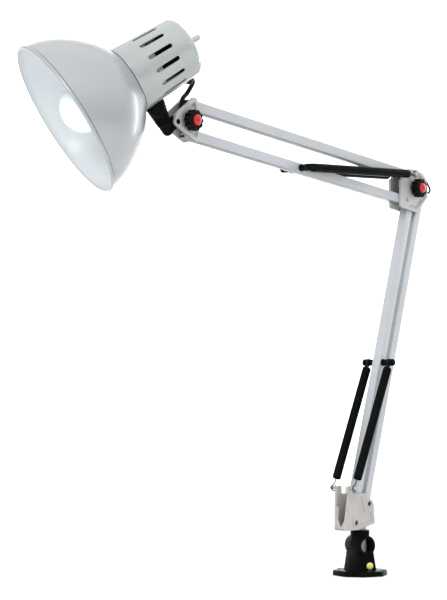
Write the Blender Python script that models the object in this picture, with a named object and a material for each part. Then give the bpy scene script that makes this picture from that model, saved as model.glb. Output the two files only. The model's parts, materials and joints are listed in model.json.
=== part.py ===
"""Swing arm desk lamp: a parallelogram arm lamp on a screw-down bracket.

Frame: metres, +Z up, the origin at the middle of the base's underside, the arms in the XZ plane and the
shade towards -X. The near side of every pair is -Y. Each arm is a pair of square tubes, so that the elbow
and the head bracket keep their attitude while the arms move.
"""
import math

import bmesh
import bpy
from mathutils import Matrix, Vector

MM = 0.001

# Driving dimensions: the arms
LOWER_ARM = 348 * MM           # pivot to pivot
UPPER_ARM = 354 * MM
TUBE = 10 * MM                 # outside of the square tubes
TUBE_WALL = 0.9 * MM
LOWER_LEAN = math.radians(17.1)    # lower arm from the vertical, away from the shade
UPPER_RISE = math.radians(6.5)     # upper arm above the horizontal, towards the shade
REAR_OFFSET = Vector((22.5, 0, 18.6)) * MM     # from the front tubes' pivot to the rear tube's
TOP_OFFSET = Vector((5, 0, 27.7)) * MM       # from the bottom tube's pivot to the top tube's

# Driving dimensions: plates, pins and clearances
GAP = 0.3 * MM                 # running gap between neighbours
PLATE_IN = 5.4 * MM            # inner face of the bracket plates, from the mid plane
PLATE_OUT = 8.3 * MM
PIN_R = 1.8 * MM
HOLE_R = PIN_R + GAP
RIVET_R = 2.5 * MM             # the swivel bracket's tubular rivets
RIVET_HOLE_R = RIVET_R + GAP
SEAT_HALF = 7 * MM             # depth of the blind pivot seats in the plates, from the mid plane

# Driving dimensions: base
BASE_TURN = math.radians(-21.5)    # base against the arm plane
SHANK_R = 6.6 * MM
BORE_R = 7.0 * MM
CROSS_BORE_R = 7.2 * MM
FLANGE_R = 28.5 * MM
FLANGE_T = 5.5 * MM
COLLAR_TOP = 46.8 * MM
CROSS_Z = 31 * MM              # height of the cross bore
SET_SCREW = Vector((3, -16.6, 10)) * MM        # head of the clamp screw, in the base's own axes
FRONT_PIVOT = Vector((-17, 0, 55)) * MM

# Driving dimensions: springs
SPRING_Y = 13.5 * MM
SLEEVE_R = 4.5 * MM
SLEEVE_BORE = 3.6 * MM
COIL_R = 3.3 * MM
COIL_BORE = 2.2 * MM
WIRE_R = 0.6 * MM
LOWER_PIN_AT = 173 * MM        # cross pin along the front tube
UPPER_PIN_AT = 182.6 * MM        # cross pin along the bottom tube
LOWER_ANCHOR = Vector((-9.8, 0, 36)) * MM      # from the front pivot
CROSS_PIN_HALF = 19.6 * MM
CROSS_PIN_R = 3.7 * MM

# Driving dimensions: head
HEAD_LEAN = math.radians(38)       # lever from the vertical, towards -X
HEAD_TURN = math.radians(28)       # head about the lever
LEVER_AHEAD = 9.6 * MM             # lever axis ahead of the nose pivot
LEVER_REACH = 59.4 * MM            # nose pivot level to the head's axis
LEVER_AT = 84 * MM                 # lever axis behind the mouth of the shade
MOUTH_R = 75.5 * MM
SHADE_DEPTH = 69.5 * MM
SHADE_WALL = 0.9 * MM
CAP_FRONT_R = 32.4 * MM
CAP_REAR_R = 29.2 * MM
CAP_REAR = 137.5 * MM
CAP_CORNER = 8 * MM
CAP_WALL = 1.3 * MM
SLOTS = 14
SLOT_FROM, SLOT_TO = 90.5 * MM, 116.5 * MM
SLOT_W = 4 * MM
BULB_R = 24 * MM

# Pivots and directions
UP_LOWER = Vector((math.sin(LOWER_LEAN), 0, math.cos(LOWER_LEAN)))
TO_HEAD = Vector((-math.cos(UPPER_RISE), 0, math.sin(UPPER_RISE)))
REAR_PIVOT = FRONT_PIVOT + REAR_OFFSET
ELBOW_FRONT = FRONT_PIVOT + UP_LOWER * LOWER_ARM
ELBOW_REAR = ELBOW_FRONT + REAR_OFFSET
ELBOW_REF = ELBOW_FRONT + UP_LOWER * 6 * MM        # the elbow plates are drawn about this point
ELBOW_BOTTOM = ELBOW_REF + TO_HEAD * 10 * MM
ELBOW_TOP = ELBOW_BOTTOM + TOP_OFFSET
ELBOW_BOLT = ELBOW_REF + Vector((3, 0, 14.5)) * MM
HEAD_TOP = ELBOW_TOP + TO_HEAD * UPPER_ARM
HEAD_BOTTOM = ELBOW_BOTTOM + TO_HEAD * UPPER_ARM
NOSE = HEAD_TOP + Vector((-22.5, 0, -18.7)) * MM
HEAD_BOLT = NOSE + Vector((16.5, 0, 2.4)) * MM
LOWER_SPRING_PIN = FRONT_PIVOT + UP_LOWER * LOWER_PIN_AT
LOWER_SPRING_ANCHOR = FRONT_PIVOT + LOWER_ANCHOR
UPPER_SPRING_PIN = ELBOW_BOTTOM + TO_HEAD * UPPER_PIN_AT
UPPER_SPRING_ANCHOR = ELBOW_TOP
LEVER_UP = Vector((-math.sin(HEAD_LEAN), 0, math.cos(HEAD_LEAN)))
LEVER_BACK = Vector((math.cos(HEAD_LEAN), 0, math.sin(HEAD_LEAN)))
HEAD_AXIS = Matrix.Rotation(-HEAD_TURN, 3, LEVER_UP) @ LEVER_BACK      # from the mouth to the rear
LEVER_FOOT = NOSE - LEVER_BACK * LEVER_AHEAD
MOUTH = LEVER_FOOT + LEVER_UP * LEVER_REACH - HEAD_AXIS * LEVER_AT
Y = Vector((0, 1, 0))

COLOURS = {
    "black": ((0.012, 0.012, 0.013), 0.45, 0.0),
    "bracket_beige": ((0.66, 0.62, 0.58), 0.5, 0.0),
    "plate_grey": ((0.62, 0.63, 0.63), 0.5, 0.0),
    "tube_silver": ((0.62, 0.65, 0.68), 0.35, 0.3),
    "shade_silver": ((0.5, 0.52, 0.53), 0.3, 0.4),
    "steel": ((0.55, 0.56, 0.57), 0.3, 1.0),
    "brass": ((0.75, 0.6, 0.2), 0.3, 1.0),
    "red": ((0.6, 0.02, 0.03), 0.35, 0.0),
    "white": ((0.8, 0.8, 0.78), 0.4, 0.0),
    "bulb": ((0.9, 0.9, 0.88), 0.5, 0.0),
}


def material(name):
    found = bpy.data.materials.get(name)
    if found:
        return found
    colour, roughness, metallic = COLOURS[name]
    made = bpy.data.materials.new(name)
    made.use_nodes = True
    shader = made.node_tree.nodes["Principled BSDF"]
    shader.inputs["Base Color"].default_value = (*colour, 1)
    shader.inputs["Roughness"].default_value = roughness
    shader.inputs["Metallic"].default_value = metallic
    return made


def finish(bm, name, finish_name, cutter=False):
    """Turn a bmesh into an object whose faces point out."""
    bmesh.ops.recalc_face_normals(bm, faces=bm.faces[:])
    mesh = bpy.data.meshes.new(name)
    bm.to_mesh(mesh)
    bm.free()
    obj = bpy.data.objects.new(name, mesh)
    bpy.context.scene.collection.objects.link(obj)
    if cutter:
        obj.hide_render = True
        obj.display_type = "WIRE"
    else:
        mesh.materials.append(material(finish_name))
        mesh.shade_smooth()
        mesh.set_sharp_from_angle(angle=math.radians(35))
    return obj


def frame_on(axis):
    """Two unit vectors square to an axis."""
    axis = axis.normalized()
    helper = Vector((0, 0, 1)) if abs(axis.z) < 0.9 else Vector((1, 0, 0))
    side = axis.cross(helper).normalized()
    return side, axis.cross(side)


def lathe(name, finish_name, start, axis, profile, segments=20, cutter=False):
    """A turned solid: profile is a closed loop of (distance along the axis, radius)."""
    axis = axis.normalized()
    side, other = frame_on(axis)
    bm = bmesh.new()
    rings = []
    for along, radius in profile:
        centre = start + axis * along
        if radius < 1e-7:
            rings.append([bm.verts.new(centre)])
            continue
        ring = []
        for k in range(segments):
            turn = 2 * math.pi * k / segments
            ring.append(bm.verts.new(centre + (side * math.cos(turn) + other * math.sin(turn)) * radius))
        rings.append(ring)
    for here, there in zip(rings, rings[1:] + rings[:1]):
        if len(here) == 1 and len(there) == 1:
            continue
        for k in range(segments):
            n = (k + 1) % segments
            if len(here) == 1:
                bm.faces.new((here[0], there[k], there[n]))
            elif len(there) == 1:
                bm.faces.new((here[k], here[n], there[0]))
            else:
                bm.faces.new((here[k], here[n], there[n], there[k]))
    return finish(bm, name, finish_name, cutter)


def rod(name, finish_name, start, end, radius, segments=12, cutter=False):
    length = (end - start).length
    profile = [(0, 0), (0, radius), (length, radius), (length, 0)]
    return lathe(name, finish_name, start, end - start, profile, segments, cutter)


def pipe(name, finish_name, start, end, radius, bore, segments=12):
    length = (end - start).length
    profile = [(0, bore), (0, radius), (length, radius), (length, bore)]
    return lathe(name, finish_name, start, end - start, profile, segments)


def cross_cut(name, centre, radius, half=20 * MM, segments=12):
    """A cutter across the arms, along Y."""
    return rod(name, "steel", centre - Y * half, centre + Y * half, radius, segments, cutter=True)


def prism(name, finish_name, outline, y_low, y_high, cutter=False):
    """An outline in the XZ plane, thick along Y."""
    bm = bmesh.new()
    low = [bm.verts.new((p.x, y_low, p.z)) for p in outline]
    high = [bm.verts.new((p.x, y_high, p.z)) for p in outline]
    bm.faces.new(low)
    bm.faces.new(high)
    for k in range(len(outline)):
        n = (k + 1) % len(outline)
        bm.faces.new((low[k], low[n], high[n], high[k]))
    return finish(bm, name, finish_name, cutter)


def combine(obj, *tools, operation="DIFFERENCE"):
    """Apply one Boolean per tool, then drop the tools."""
    for tool in tools:
        modifier = obj.modifiers.new(operation.title(), "BOOLEAN")
        modifier.operation = operation
        modifier.solver = "EXACT"
        modifier.object = tool
        graph = bpy.context.evaluated_depsgraph_get()
        mesh = bpy.data.meshes.new_from_object(obj.evaluated_get(graph))
        obj.modifiers.clear()
        obj.data = mesh
        bpy.data.objects.remove(tool)
    obj.data.shade_smooth()
    obj.data.set_sharp_from_angle(angle=math.radians(35))
    return obj


def round_corners(corners, radii, steps=3):
    """Points of a polygon in the XZ plane with each corner turned into an arc."""
    points = []
    count = len(corners)
    for k, corner in enumerate(corners):
        before = (corners[k - 1] - corner).normalized()
        after = (corners[(k + 1) % count] - corner).normalized()
        half = math.acos(max(-1, min(1, before.dot(after)))) / 2
        reach = radii[k] / math.tan(half)
        centre = corner + (before + after).normalized() * (radii[k] / math.sin(half))
        first = corner + before * reach - centre
        last = corner + after * reach - centre
        for step in range(steps + 1):
            mixed = first.lerp(last, step / steps).normalized() * radii[k]
            points.append(centre + mixed)
    return points


def at(reference, pairs):
    return [reference + Vector((x, 0, z)) * MM for x, z in pairs]


# Base

def base_bracket():
    """Flange, body, upright socket and cross socket in one moulding, with a bore through each socket."""
    up = Vector((0, 0, 1))
    origin = Vector((0, 0, 0))
    turn = math.pi / 8
    flange = lathe("base_bracket", "black", origin, up,
                   [(0, 0), (0, FLANGE_R), (FLANGE_T - 1 * MM, FLANGE_R), (FLANGE_T, FLANGE_R - 1.2 * MM),
                    (FLANGE_T, 0)], 8)
    flange.data.transform(Matrix.Rotation(turn, 4, "Z"))
    body = lathe("body", "black", Vector((0, 0, 3 * MM)), up,
                 [(0, 0), (0, 19 * MM), (4 * MM, 17 * MM), (16 * MM, 15.2 * MM), (30 * MM, 13.2 * MM),
                  (30 * MM, 0)], 4)
    body.data.transform(Matrix.Rotation(math.pi / 4, 4, "Z"))
    upright = lathe("upright", "black", Vector((0, 0, 4 * MM)), up,
                    [(0, 0), (0, 10.6 * MM), (30 * MM, 9.4 * MM), (34.6 * MM, 9.2 * MM), (34.8 * MM, 9.9 * MM),
                     (COLLAR_TOP - 4.8 * MM, 9.9 * MM), (COLLAR_TOP - 4 * MM, 9.1 * MM),
                     (COLLAR_TOP - 4 * MM, 0)], 20)
    cross = lathe("cross", "black", Vector((0, -14.2 * MM, CROSS_Z)), Y,
                  [(0, 0), (0, 9.7 * MM), (1 * MM, 10.5 * MM), (27.4 * MM, 10.5 * MM), (28.4 * MM, 9.7 * MM),
                   (28.4 * MM, 0)], 20)
    combine(flange, body, upright, cross, operation="UNION")
    cutters = [rod("bore", "steel", Vector((0, 0, 6 * MM)), Vector((0, 0, 60 * MM)), BORE_R, 24, True),
               rod("cross_bore", "steel", Vector((0, -30 * MM, CROSS_Z)), Vector((0, 30 * MM, CROSS_Z)),
                   CROSS_BORE_R, 22, True),
               rod("screw_hole", "steel", SET_SCREW - Y * 10 * MM, SET_SCREW + Y * 16.6 * MM, 2.3 * MM, 12, True)]
    for k in range(4):
        turn = math.pi / 4 + k * math.pi / 2
        spot = Vector((math.cos(turn), math.sin(turn), 0)) * 22.6 * MM
        cutters.append(rod("foot_hole", "steel", spot - up * 5 * MM, spot + up * 20 * MM, 2.1 * MM, 12, True))
    combine(flange, *cutters)
    flange.rotation_euler.z = BASE_TURN
    return flange


def brass_set_screw():
    """Clamp screw: a slotted round head on the body's front and a shank that reaches the lamp's shank."""
    made = lathe("brass_set_screw", "brass", Vector((0, 0, 0)), Y,
                 [(0, 0), (0.3 * MM, 2.2 * MM), (1.3 * MM, 3.4 * MM), (2.4 * MM, 3.8 * MM), (3.2 * MM, 3.8 * MM),
                  (3.2 * MM, 1.9 * MM), (9.6 * MM, 1.9 * MM), (9.6 * MM, 0)], 16)
    made.location = Matrix.Rotation(BASE_TURN, 3, "Z") @ SET_SCREW
    made.rotation_euler.z = BASE_TURN
    return made


def plate_pocket(obj, corners, radii, inset, depth):
    """Sink both outer faces inside a raised rim."""
    middle = sum(corners, Vector()) / len(corners)
    inner = [c - (c - middle).normalized() * inset for c in corners]
    outline = round_corners(inner, radii)
    tools = [prism("pocket", "steel", outline, PLATE_OUT - depth, PLATE_OUT + 5 * MM, True),
             prism("pocket", "steel", outline, -PLATE_OUT - 5 * MM, -PLATE_OUT + depth, True)]
    return combine(obj, *tools)


def plan(name, half, nose_x, corner, z_low, z_high):
    """An upright block, |y| up to half, whose front at nose_x has rounded corners."""
    bm = bmesh.new()
    outline = [Vector((60 * MM, -half, 0)), Vector((60 * MM, half, 0))]
    for side in (1, -1):
        centre = Vector((nose_x + corner, side * (half - corner), 0))
        for step in range(5):
            turn = math.radians(90 * step / 4)
            across, ahead = (math.cos(turn), math.sin(turn)) if side > 0 else (math.sin(turn), math.cos(turn))
            outline.append(centre + Vector((-ahead, side * across, 0)) * corner)
    low = [bm.verts.new(p + Vector((0, 0, z_low))) for p in outline]
    high = [bm.verts.new(p + Vector((0, 0, z_high))) for p in outline]
    bm.faces.new(low)
    bm.faces.new(high)
    for k in range(len(outline)):
        n = (k + 1) % len(outline)
        bm.faces.new((low[k], low[n], high[n], high[k]))
    return finish(bm, name, "steel", cutter=True)


def swivel_bracket():
    """Bent channel on a round shank, its round front cut back towards the top, with two horns for the springs."""
    plate = at(FRONT_PIVOT, [(-20, -7.3), (4, -7.3), (32, -2.2), (30, 20), (14, 30), (-7, 30), (-7, 38.2),
                             (-15, 38.2), (-17.6, 3)])
    radii = [3.5 * MM, 12 * MM, 2 * MM, 7 * MM, 5 * MM, 1.2 * MM, 2 * MM, 2.5 * MM, 12 * MM]
    obj = prism("swivel_bracket", "bracket_beige", round_corners(plate, radii), -PLATE_OUT, PLATE_OUT)
    front = FRONT_PIVOT.x - 20.2 * MM
    combine(obj, plan("bend", PLATE_OUT + 0.1 * MM, front, 7.4 * MM, 0, 120 * MM), operation="INTERSECT")
    floor = at(FRONT_PIVOT, [(-60, -2), (-17.6, -2), (-14, -5.3), (4, -5.3), (60, 4.9), (60, 60), (-60, 60)])
    room = prism("room", "steel", floor, -20 * MM, 20 * MM, True)
    combine(room, plan("bend", PLATE_IN, front + 2.6 * MM, 3 * MM, 0, 120 * MM), operation="INTERSECT")
    combine(obj, room)
    panel = at(FRONT_PIVOT, [(-9.5, -3.8), (4, -3.8), (27.8, 0.5), (26, 10), (14.5, 11.5), (10.5, 26.5), (-9.5, 26.5)])
    plate_pocket(obj, panel, [2 * MM] * 7, 0.6 * MM, 0.7 * MM)
    proud = PLATE_OUT + 0.2 * MM
    boss = pipe("boss", "bracket_beige", FRONT_PIVOT - Y * proud, FRONT_PIVOT - Y * (PLATE_IN + 0.5 * MM),
                4.8 * MM, 1 * MM, 16)
    boss_far = pipe("boss", "bracket_beige", FRONT_PIVOT + Y * (PLATE_IN + 0.5 * MM), FRONT_PIVOT + Y * proud,
                    4.8 * MM, 1 * MM, 16)
    shank = rod("shank", "bracket_beige", Vector((0, 0, 7 * MM)), Vector((0, 0, 51.2 * MM)), SHANK_R, 20)
    combine(obj, boss, boss_far, shank, operation="UNION")
    for side in (-1, 1):
        peg = lathe("peg", "bracket_beige", LOWER_SPRING_ANCHOR + Y * side * (PLATE_OUT - 1.5 * MM), Y * side,
                    [(0, 0), (0, 1.5 * MM), (8.6 * MM, 1.5 * MM), (9 * MM, 2 * MM), (10.2 * MM, 1.6 * MM),
                     (10.2 * MM, 0)], 12)
        combine(obj, peg, operation="UNION")
    return combine(obj, cross_cut("hole", FRONT_PIVOT, RIVET_HOLE_R), cross_cut("hole", REAR_PIVOT, RIVET_HOLE_R))


# Shared arm pieces

def square_tube(name, pivot_a, pivot_b, hole_a, extra_hole=None):
    """Square tube with round nosed, open ends that reach past both pivots."""
    along = (pivot_b - pivot_a).normalized()
    across = Vector((-along.z, 0, along.x))
    half = TUBE / 2
    outline = []
    for centre, outward in ((pivot_b, 1), (pivot_a, -1)):
        for step in range(7):
            turn = math.pi * step / 6
            outline.append(centre + across * half * math.cos(turn) * outward * -1
                           + along * half * math.sin(turn) * outward)
    obj = prism(name, "tube_silver", outline, -half, half)
    inner = half - TUBE_WALL
    hollow = [pivot_a - along * 30 * MM - across * inner, pivot_b + along * 30 * MM - across * inner,
              pivot_b + along * 30 * MM + across * inner, pivot_a - along * 30 * MM + across * inner]
    combine(obj, prism("hollow", "steel", hollow, -inner, inner, True))
    tools = [cross_cut("hole", pivot_a, hole_a), cross_cut("hole", pivot_b, HOLE_R)]
    if extra_hole:
        tools.append(cross_cut("hole", extra_hole, HOLE_R))
    return combine(obj, *tools)


def pivot_pin(name, centre, half, radius, bore):
    """Tubular rivet between the cheeks of a bracket."""
    return pipe(name, "steel", centre - Y * half, centre + Y * half, radius, bore, 12)


def cross_pin(name, centre):
    """Pin through a tube that holds a spring on each side, with a roller and a cap at each end."""
    inner = TUBE / 2 + GAP
    groove_in = SPRING_Y - 1.2 * MM
    groove_out = SPRING_Y + 1.2 * MM
    end = CROSS_PIN_HALF
    half = [(0, PIN_R), (inner, PIN_R), (inner, CROSS_PIN_R), (groove_in, CROSS_PIN_R),
            (groove_in, 2.2 * MM), (groove_out, 2.2 * MM), (groove_out, CROSS_PIN_R),
            (end - 0.8 * MM, CROSS_PIN_R), (end, CROSS_PIN_R - 0.8 * MM), (end, 0)]
    profile = [(-a, r) for a, r in reversed(half[1:])] + half[1:]
    return lathe(name, "black", centre, Y, profile, 12)


def torus_ring(name, centre, axis, radius, wire, segments=12, sides=5):
    profile = [(wire * math.sin(2 * math.pi * k / sides), radius + wire * math.cos(2 * math.pi * k / sides))
               for k in range(sides)]
    return lathe(name, "steel", centre, axis, profile, segments)


def spring_set(prefix, pin, anchor, sleeve_from, sleeve_to, side):
    """Sleeve, coil with its hook on the cross pin, and the tail with its ring on the anchor."""
    where = "near" if side < 0 else "far"
    shift = Y * SPRING_Y * side
    along = (anchor - pin).normalized()
    reach = (anchor - pin).length
    top = pin + shift
    low = anchor + shift
    pipe(f"{prefix}_sleeve_{where}", "black", top + along * sleeve_from, top + along * sleeve_to,
         SLEEVE_R, SLEEVE_BORE, 12)
    coil = pipe(f"{prefix}_spring_{where}", "steel", top + along * (sleeve_from + 1 * MM),
                top + along * (sleeve_to - 12 * MM), COIL_R, COIL_BORE, 8)
    eye = torus_ring("eye", top, Y, 3.2 * MM, WIRE_R)
    wire = rod("wire", "steel", top + along * 2.9 * MM, top + along * (sleeve_from + 4 * MM), WIRE_R, 8)
    link = rod("link", "steel", top + along * (sleeve_from + 1.2 * MM) - along.cross(Y) * 2.8 * MM,
               top + along * (sleeve_from + 1.2 * MM) + along.cross(Y) * 2.8 * MM, 0.8 * MM, 8)
    combine(coil, link, wire, eye, operation="UNION")
    tail = torus_ring(f"{prefix}_spring_tail_{where}", low, Y, 2.6 * MM, WIRE_R)
    stem = rod("stem", "steel", low - along * 2.3 * MM, low - along * (reach - sleeve_to + 22 * MM), WIRE_R, 8)
    combine(tail, stem, operation="UNION")


def knob_set(prefix, centre):
    """Clamp knob: fluted knob, domed red cap, a bolt through the bracket and a spacer between the plates."""
    seat = PLATE_OUT + GAP
    thick = 9.5 * MM
    flutes = 10
    outline = []
    for k in range(flutes * 4):
        turn = 2 * math.pi * k / (flutes * 4)
        radius = 10.2 * MM if k % 4 in (0, 1) else 9 * MM
        outline.append(centre + Vector((math.cos(turn), 0, math.sin(turn))) * radius)
    knob = prism(f"{prefix}_knob", "black", outline, -seat - thick, -seat)
    combine(knob, cross_cut("hole", centre, 2.3 * MM),
            rod("seat", "steel", centre - Y * (seat + thick + 5 * MM), centre - Y * (seat + thick - 2.5 * MM),
                5.8 * MM, 20, True))
    lathe(f"{prefix}_knob_cap", "red", centre - Y * (seat + thick - 2.1 * MM), -Y,
          [(0, 0), (0, 5.4 * MM), (2.3 * MM, 5.4 * MM), (3.3 * MM, 4.3 * MM), (4 * MM, 2.4 * MM),
           (4.2 * MM, 0)], 20)
    head = seat + 3.4 * MM
    lathe(f"{prefix}_bolt", "steel", centre - Y * (seat + thick - 2.9 * MM), Y,
          [(0, 0), (0, 2 * MM), (2 * seat + thick - 2.9 * MM, 2 * MM), (2 * seat + thick - 2.9 * MM, 4.6 * MM),
           (seat + thick - 2.9 * MM + head, 4.6 * MM), (seat + thick - 2.9 * MM + head, 0)], 12)
    pipe(f"{prefix}_spacer", "steel", centre - Y * (PLATE_IN - GAP), centre + Y * (PLATE_IN - GAP), 3.4 * MM,
         2.3 * MM, 16)


def bracket_plate(name, outline, corners, radii, side, seats, holes):
    """One cheek of a bracket, with a raised rim, blind seats for the hidden rivets and holes right through."""
    y_in, y_out = side * PLATE_IN, side * PLATE_OUT
    obj = prism(name, "plate_grey", outline, min(y_in, y_out), max(y_in, y_out))
    middle = sum(corners, Vector()) / len(corners)
    inner = round_corners([c - (c - middle).normalized() * 3.2 * MM for c in corners], radii)
    low, high = sorted((side * (PLATE_OUT - 0.7 * MM), side * (PLATE_OUT + 5 * MM)))
    combine(obj, prism("pocket", "steel", inner, low, high, True))
    tools = [cross_cut("seat", seat, HOLE_R, SEAT_HALF) for seat in seats]
    tools += [cross_cut("hole", centre, radius) for centre, radius in holes]
    return combine(obj, *tools)


# Elbow and head brackets

def elbow_plates():
    corners = at(ELBOW_REF, [(-23, -7.5), (5.5, -11.5), (26, 5.5), (24, 26.5), (7, 36.5), (-9, 36.8), (-23, 23)])
    outline = round_corners(corners, [3 * MM] * 7)
    for side, where in ((-1, "near"), (1, "far")):
        bracket_plate(f"elbow_plate_{where}", outline, corners, [2 * MM] * 7, side,
                      (ELBOW_FRONT, ELBOW_REAR, ELBOW_BOTTOM), ((ELBOW_TOP, HOLE_R), (ELBOW_BOLT, 2.3 * MM)))


def head_plates():
    corners = at(NOSE, [(-11.5, 0.5), (22.5, 25.5), (27.5, 24), (31, -15.2), (26, -16.6)])
    outline = round_corners(corners, [8.2 * MM, 2.5 * MM, 2 * MM, 2.5 * MM, 2 * MM], 5)
    pocket = at(NOSE, [(-8, 0.3), (24, 23), (27.6, -13.2)])
    for side, where in ((-1, "near"), (1, "far")):
        bracket_plate(f"head_plate_{where}", outline, pocket, [3.5 * MM, 1.5 * MM, 1.5 * MM], side,
                      (HEAD_TOP, HEAD_BOTTOM), ((NOSE, HOLE_R), (HEAD_BOLT, 2.3 * MM)))


# Head

def along_head(distance):
    return MOUTH + HEAD_AXIS * distance


def head_lever():
    """Tapered arm from the nose pin to the side of the cap, slotted to sit between the plates."""
    foot = LEVER_FOOT - LEVER_UP * 8 * MM
    top = LEVER_REACH - CAP_FRONT_R + 8 * MM
    obj = lathe("head_lever", "black", foot, LEVER_UP,
                [(0, 0), (0.4 * MM, 2.6 * MM), (1.8 * MM, 4.4 * MM), (4 * MM, 5.2 * MM), (11 * MM, 6 * MM),
                 (22.5 * MM, 8.3 * MM), (top - 2 * MM, 9.8 * MM), (top - 0.8 * MM, 9.8 * MM), (top - 0.8 * MM, 0)], 20)
    eye = rod("eye", "black", NOSE - Y * 5 * MM, NOSE + Y * 5 * MM, 6 * MM, 20)
    block = []
    for back, up in ((-LEVER_AHEAD, -5.5 * MM), (1 * MM, -5.9 * MM), (1 * MM, 5.9 * MM), (-LEVER_AHEAD, 9 * MM)):
        block.append(NOSE + LEVER_BACK * back + LEVER_UP * up)
    combine(obj, eye, prism("block", "black", block, -4.9 * MM, 4.9 * MM), operation="UNION")
    tools = [rod("slot", "steel", NOSE + Y * side * 5 * MM, NOSE + Y * side * 14 * MM, 10.2 * MM, 24, True)
             for side in (-1, 1)]
    tools.append(cross_cut("hole", NOSE, HOLE_R))
    stud = lever_line(LEVER_REACH - CAP_FRONT_R - 9 * MM)
    tools.append(rod("stud_hole", "steel", stud, stud + LEVER_UP * 30 * MM, 3.2 * MM, 16, True))
    return combine(obj, *tools)


def swivel_saddle():
    """Pad under the cap that turns with it on the lever's flat top."""
    low = lever_line(LEVER_REACH - CAP_FRONT_R - 0.5 * MM)
    obj = pipe("swivel_saddle", "black", low, low + LEVER_UP * 6 * MM, 9.8 * MM, 3.2 * MM, 20)
    cap_clear = lathe("cap_clear", "steel", along_head(40 * MM), HEAD_AXIS,
                      [(0, 0), (0, cap_radius(40 * MM) + GAP), (100 * MM, cap_radius(140 * MM) + GAP),
                       (100 * MM, 0)], SLOTS * 3, True)
    return combine(obj, cap_clear)


def lever_line(height):
    """A point on the lever's own axis, by height above the nose pivot's level."""
    return LEVER_FOOT + LEVER_UP * height


def cap_radius(distance):
    """Outside radius of the cap's straight taper."""
    share = (distance - SHADE_DEPTH) / (CAP_REAR - CAP_CORNER - SHADE_DEPTH)
    return CAP_FRONT_R + (CAP_REAR_R - CAP_FRONT_R) * share


def cap_shell_profile():
    """Outside up to the switch hole, then back down the inside."""
    corner_from = CAP_REAR - CAP_CORNER
    outer = [(SHADE_DEPTH + GAP, CAP_FRONT_R), (corner_from, CAP_REAR_R)]
    inner = [(SHADE_DEPTH + GAP, CAP_FRONT_R - CAP_WALL), (corner_from, CAP_REAR_R - CAP_WALL)]
    for step in range(1, 4):
        turn = math.pi / 2 * step / 3
        outer.append((corner_from + CAP_CORNER * math.sin(turn), CAP_REAR_R - CAP_CORNER * (1 - math.cos(turn))))
        small = CAP_CORNER - CAP_WALL
        inner.append((corner_from + small * math.sin(turn),
                      CAP_REAR_R - CAP_WALL - small * (1 - math.cos(turn))))
    hole = 4.2 * MM
    outer.append((CAP_REAR, hole))
    inner.append((CAP_REAR - CAP_WALL, hole))
    lip = [(SHADE_DEPTH - 5 * MM, CAP_FRONT_R - 2.6 * MM), (SHADE_DEPTH - 5 * MM, CAP_FRONT_R - 1.4 * MM),
           (SHADE_DEPTH + GAP, CAP_FRONT_R - 1.4 * MM)]
    back = list(reversed(inner))
    back[-1] = (SHADE_DEPTH + 3 * MM, CAP_FRONT_R - 2.6 * MM)
    return lip + outer + back


def cap_housing():
    """Vented cap that holds the socket. Slots all round, a hole for the lever's stud and one for the lead."""
    obj = lathe("cap_housing", "shade_silver", MOUTH, HEAD_AXIS, cap_shell_profile(), SLOTS * 3)
    side, other = frame_on(HEAD_AXIS)
    for k in range(SLOTS):
        turn = 2 * math.pi * (k + 0.5) / SLOTS
        out = side * math.cos(turn) + other * math.sin(turn)
        obj = combine(obj, slot_cutter(out))
    holes = [rod("stud_hole", "steel", lever_line(LEVER_REACH - 20 * MM), lever_line(LEVER_REACH - 40 * MM),
                 3.2 * MM, 16, True),
             rod("lead_hole", "steel", lead_exit() + LEVER_UP * 12 * MM, lead_exit() - LEVER_UP * 6 * MM,
                 3.4 * MM, 16, True)]
    return combine(obj, *holes)


def slot_cutter(out):
    """A long round ended cutter through one side of the cap."""
    across = HEAD_AXIS.cross(out)
    half = SLOT_W / 2
    bm = bmesh.new()
    rings = ([], [])
    for ring, depth in zip(rings, (20 * MM, 40 * MM)):
        for distance, sense in ((SLOT_TO - half, 1), (SLOT_FROM + half, -1)):
            for step in range(4):
                turn = math.pi * step / 3
                point = (along_head(distance) + out * depth + HEAD_AXIS * half * math.sin(turn) * sense
                         - across * half * math.cos(turn) * sense)
                ring.append(bm.verts.new(point))
    bm.faces.new(rings[0])
    bm.faces.new(rings[1])
    count = len(rings[0])
    for k in range(count):
        n = (k + 1) % count
        bm.faces.new((rings[0][k], rings[0][n], rings[1][n], rings[1][k]))
    return finish(bm, "slot", "steel", cutter=True)


def shade_radius(distance):
    """The bell curve of the shade."""
    return MOUTH_R * (1 - (distance / (80 * MM)) ** 1.8) ** 0.58


def shade():
    """Spun bell with a rolled rim."""
    steps = 8
    outer, inner = [], []
    for k in range(steps + 1):
        distance = 3 * MM + (SHADE_DEPTH - 3 * MM) * (k / steps) ** 0.9
        outer.append((distance, shade_radius(distance)))
        inner.append((distance - 0.35 * MM, shade_radius(distance) - SHADE_WALL))
    inner[-1] = (SHADE_DEPTH, CAP_FRONT_R - 0.9 * MM)
    outer[-1] = (SHADE_DEPTH, CAP_FRONT_R + 0.2 * MM)
    bead = 1.7 * MM
    rim = [(bead + bead * math.cos(a), MOUTH_R - 0.4 * MM + bead * math.sin(a))
           for a in (math.radians(d) for d in (225, 165, 105, 45))]
    return lathe("shade", "shade_silver", MOUTH, HEAD_AXIS, rim + outer + list(reversed(inner)), 36)


def lead_exit():
    """Where the lead leaves the cap's underside, behind the lever."""
    at_cap = 122 * MM
    return along_head(at_cap) - LEVER_UP * cap_radius(at_cap)


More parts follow.
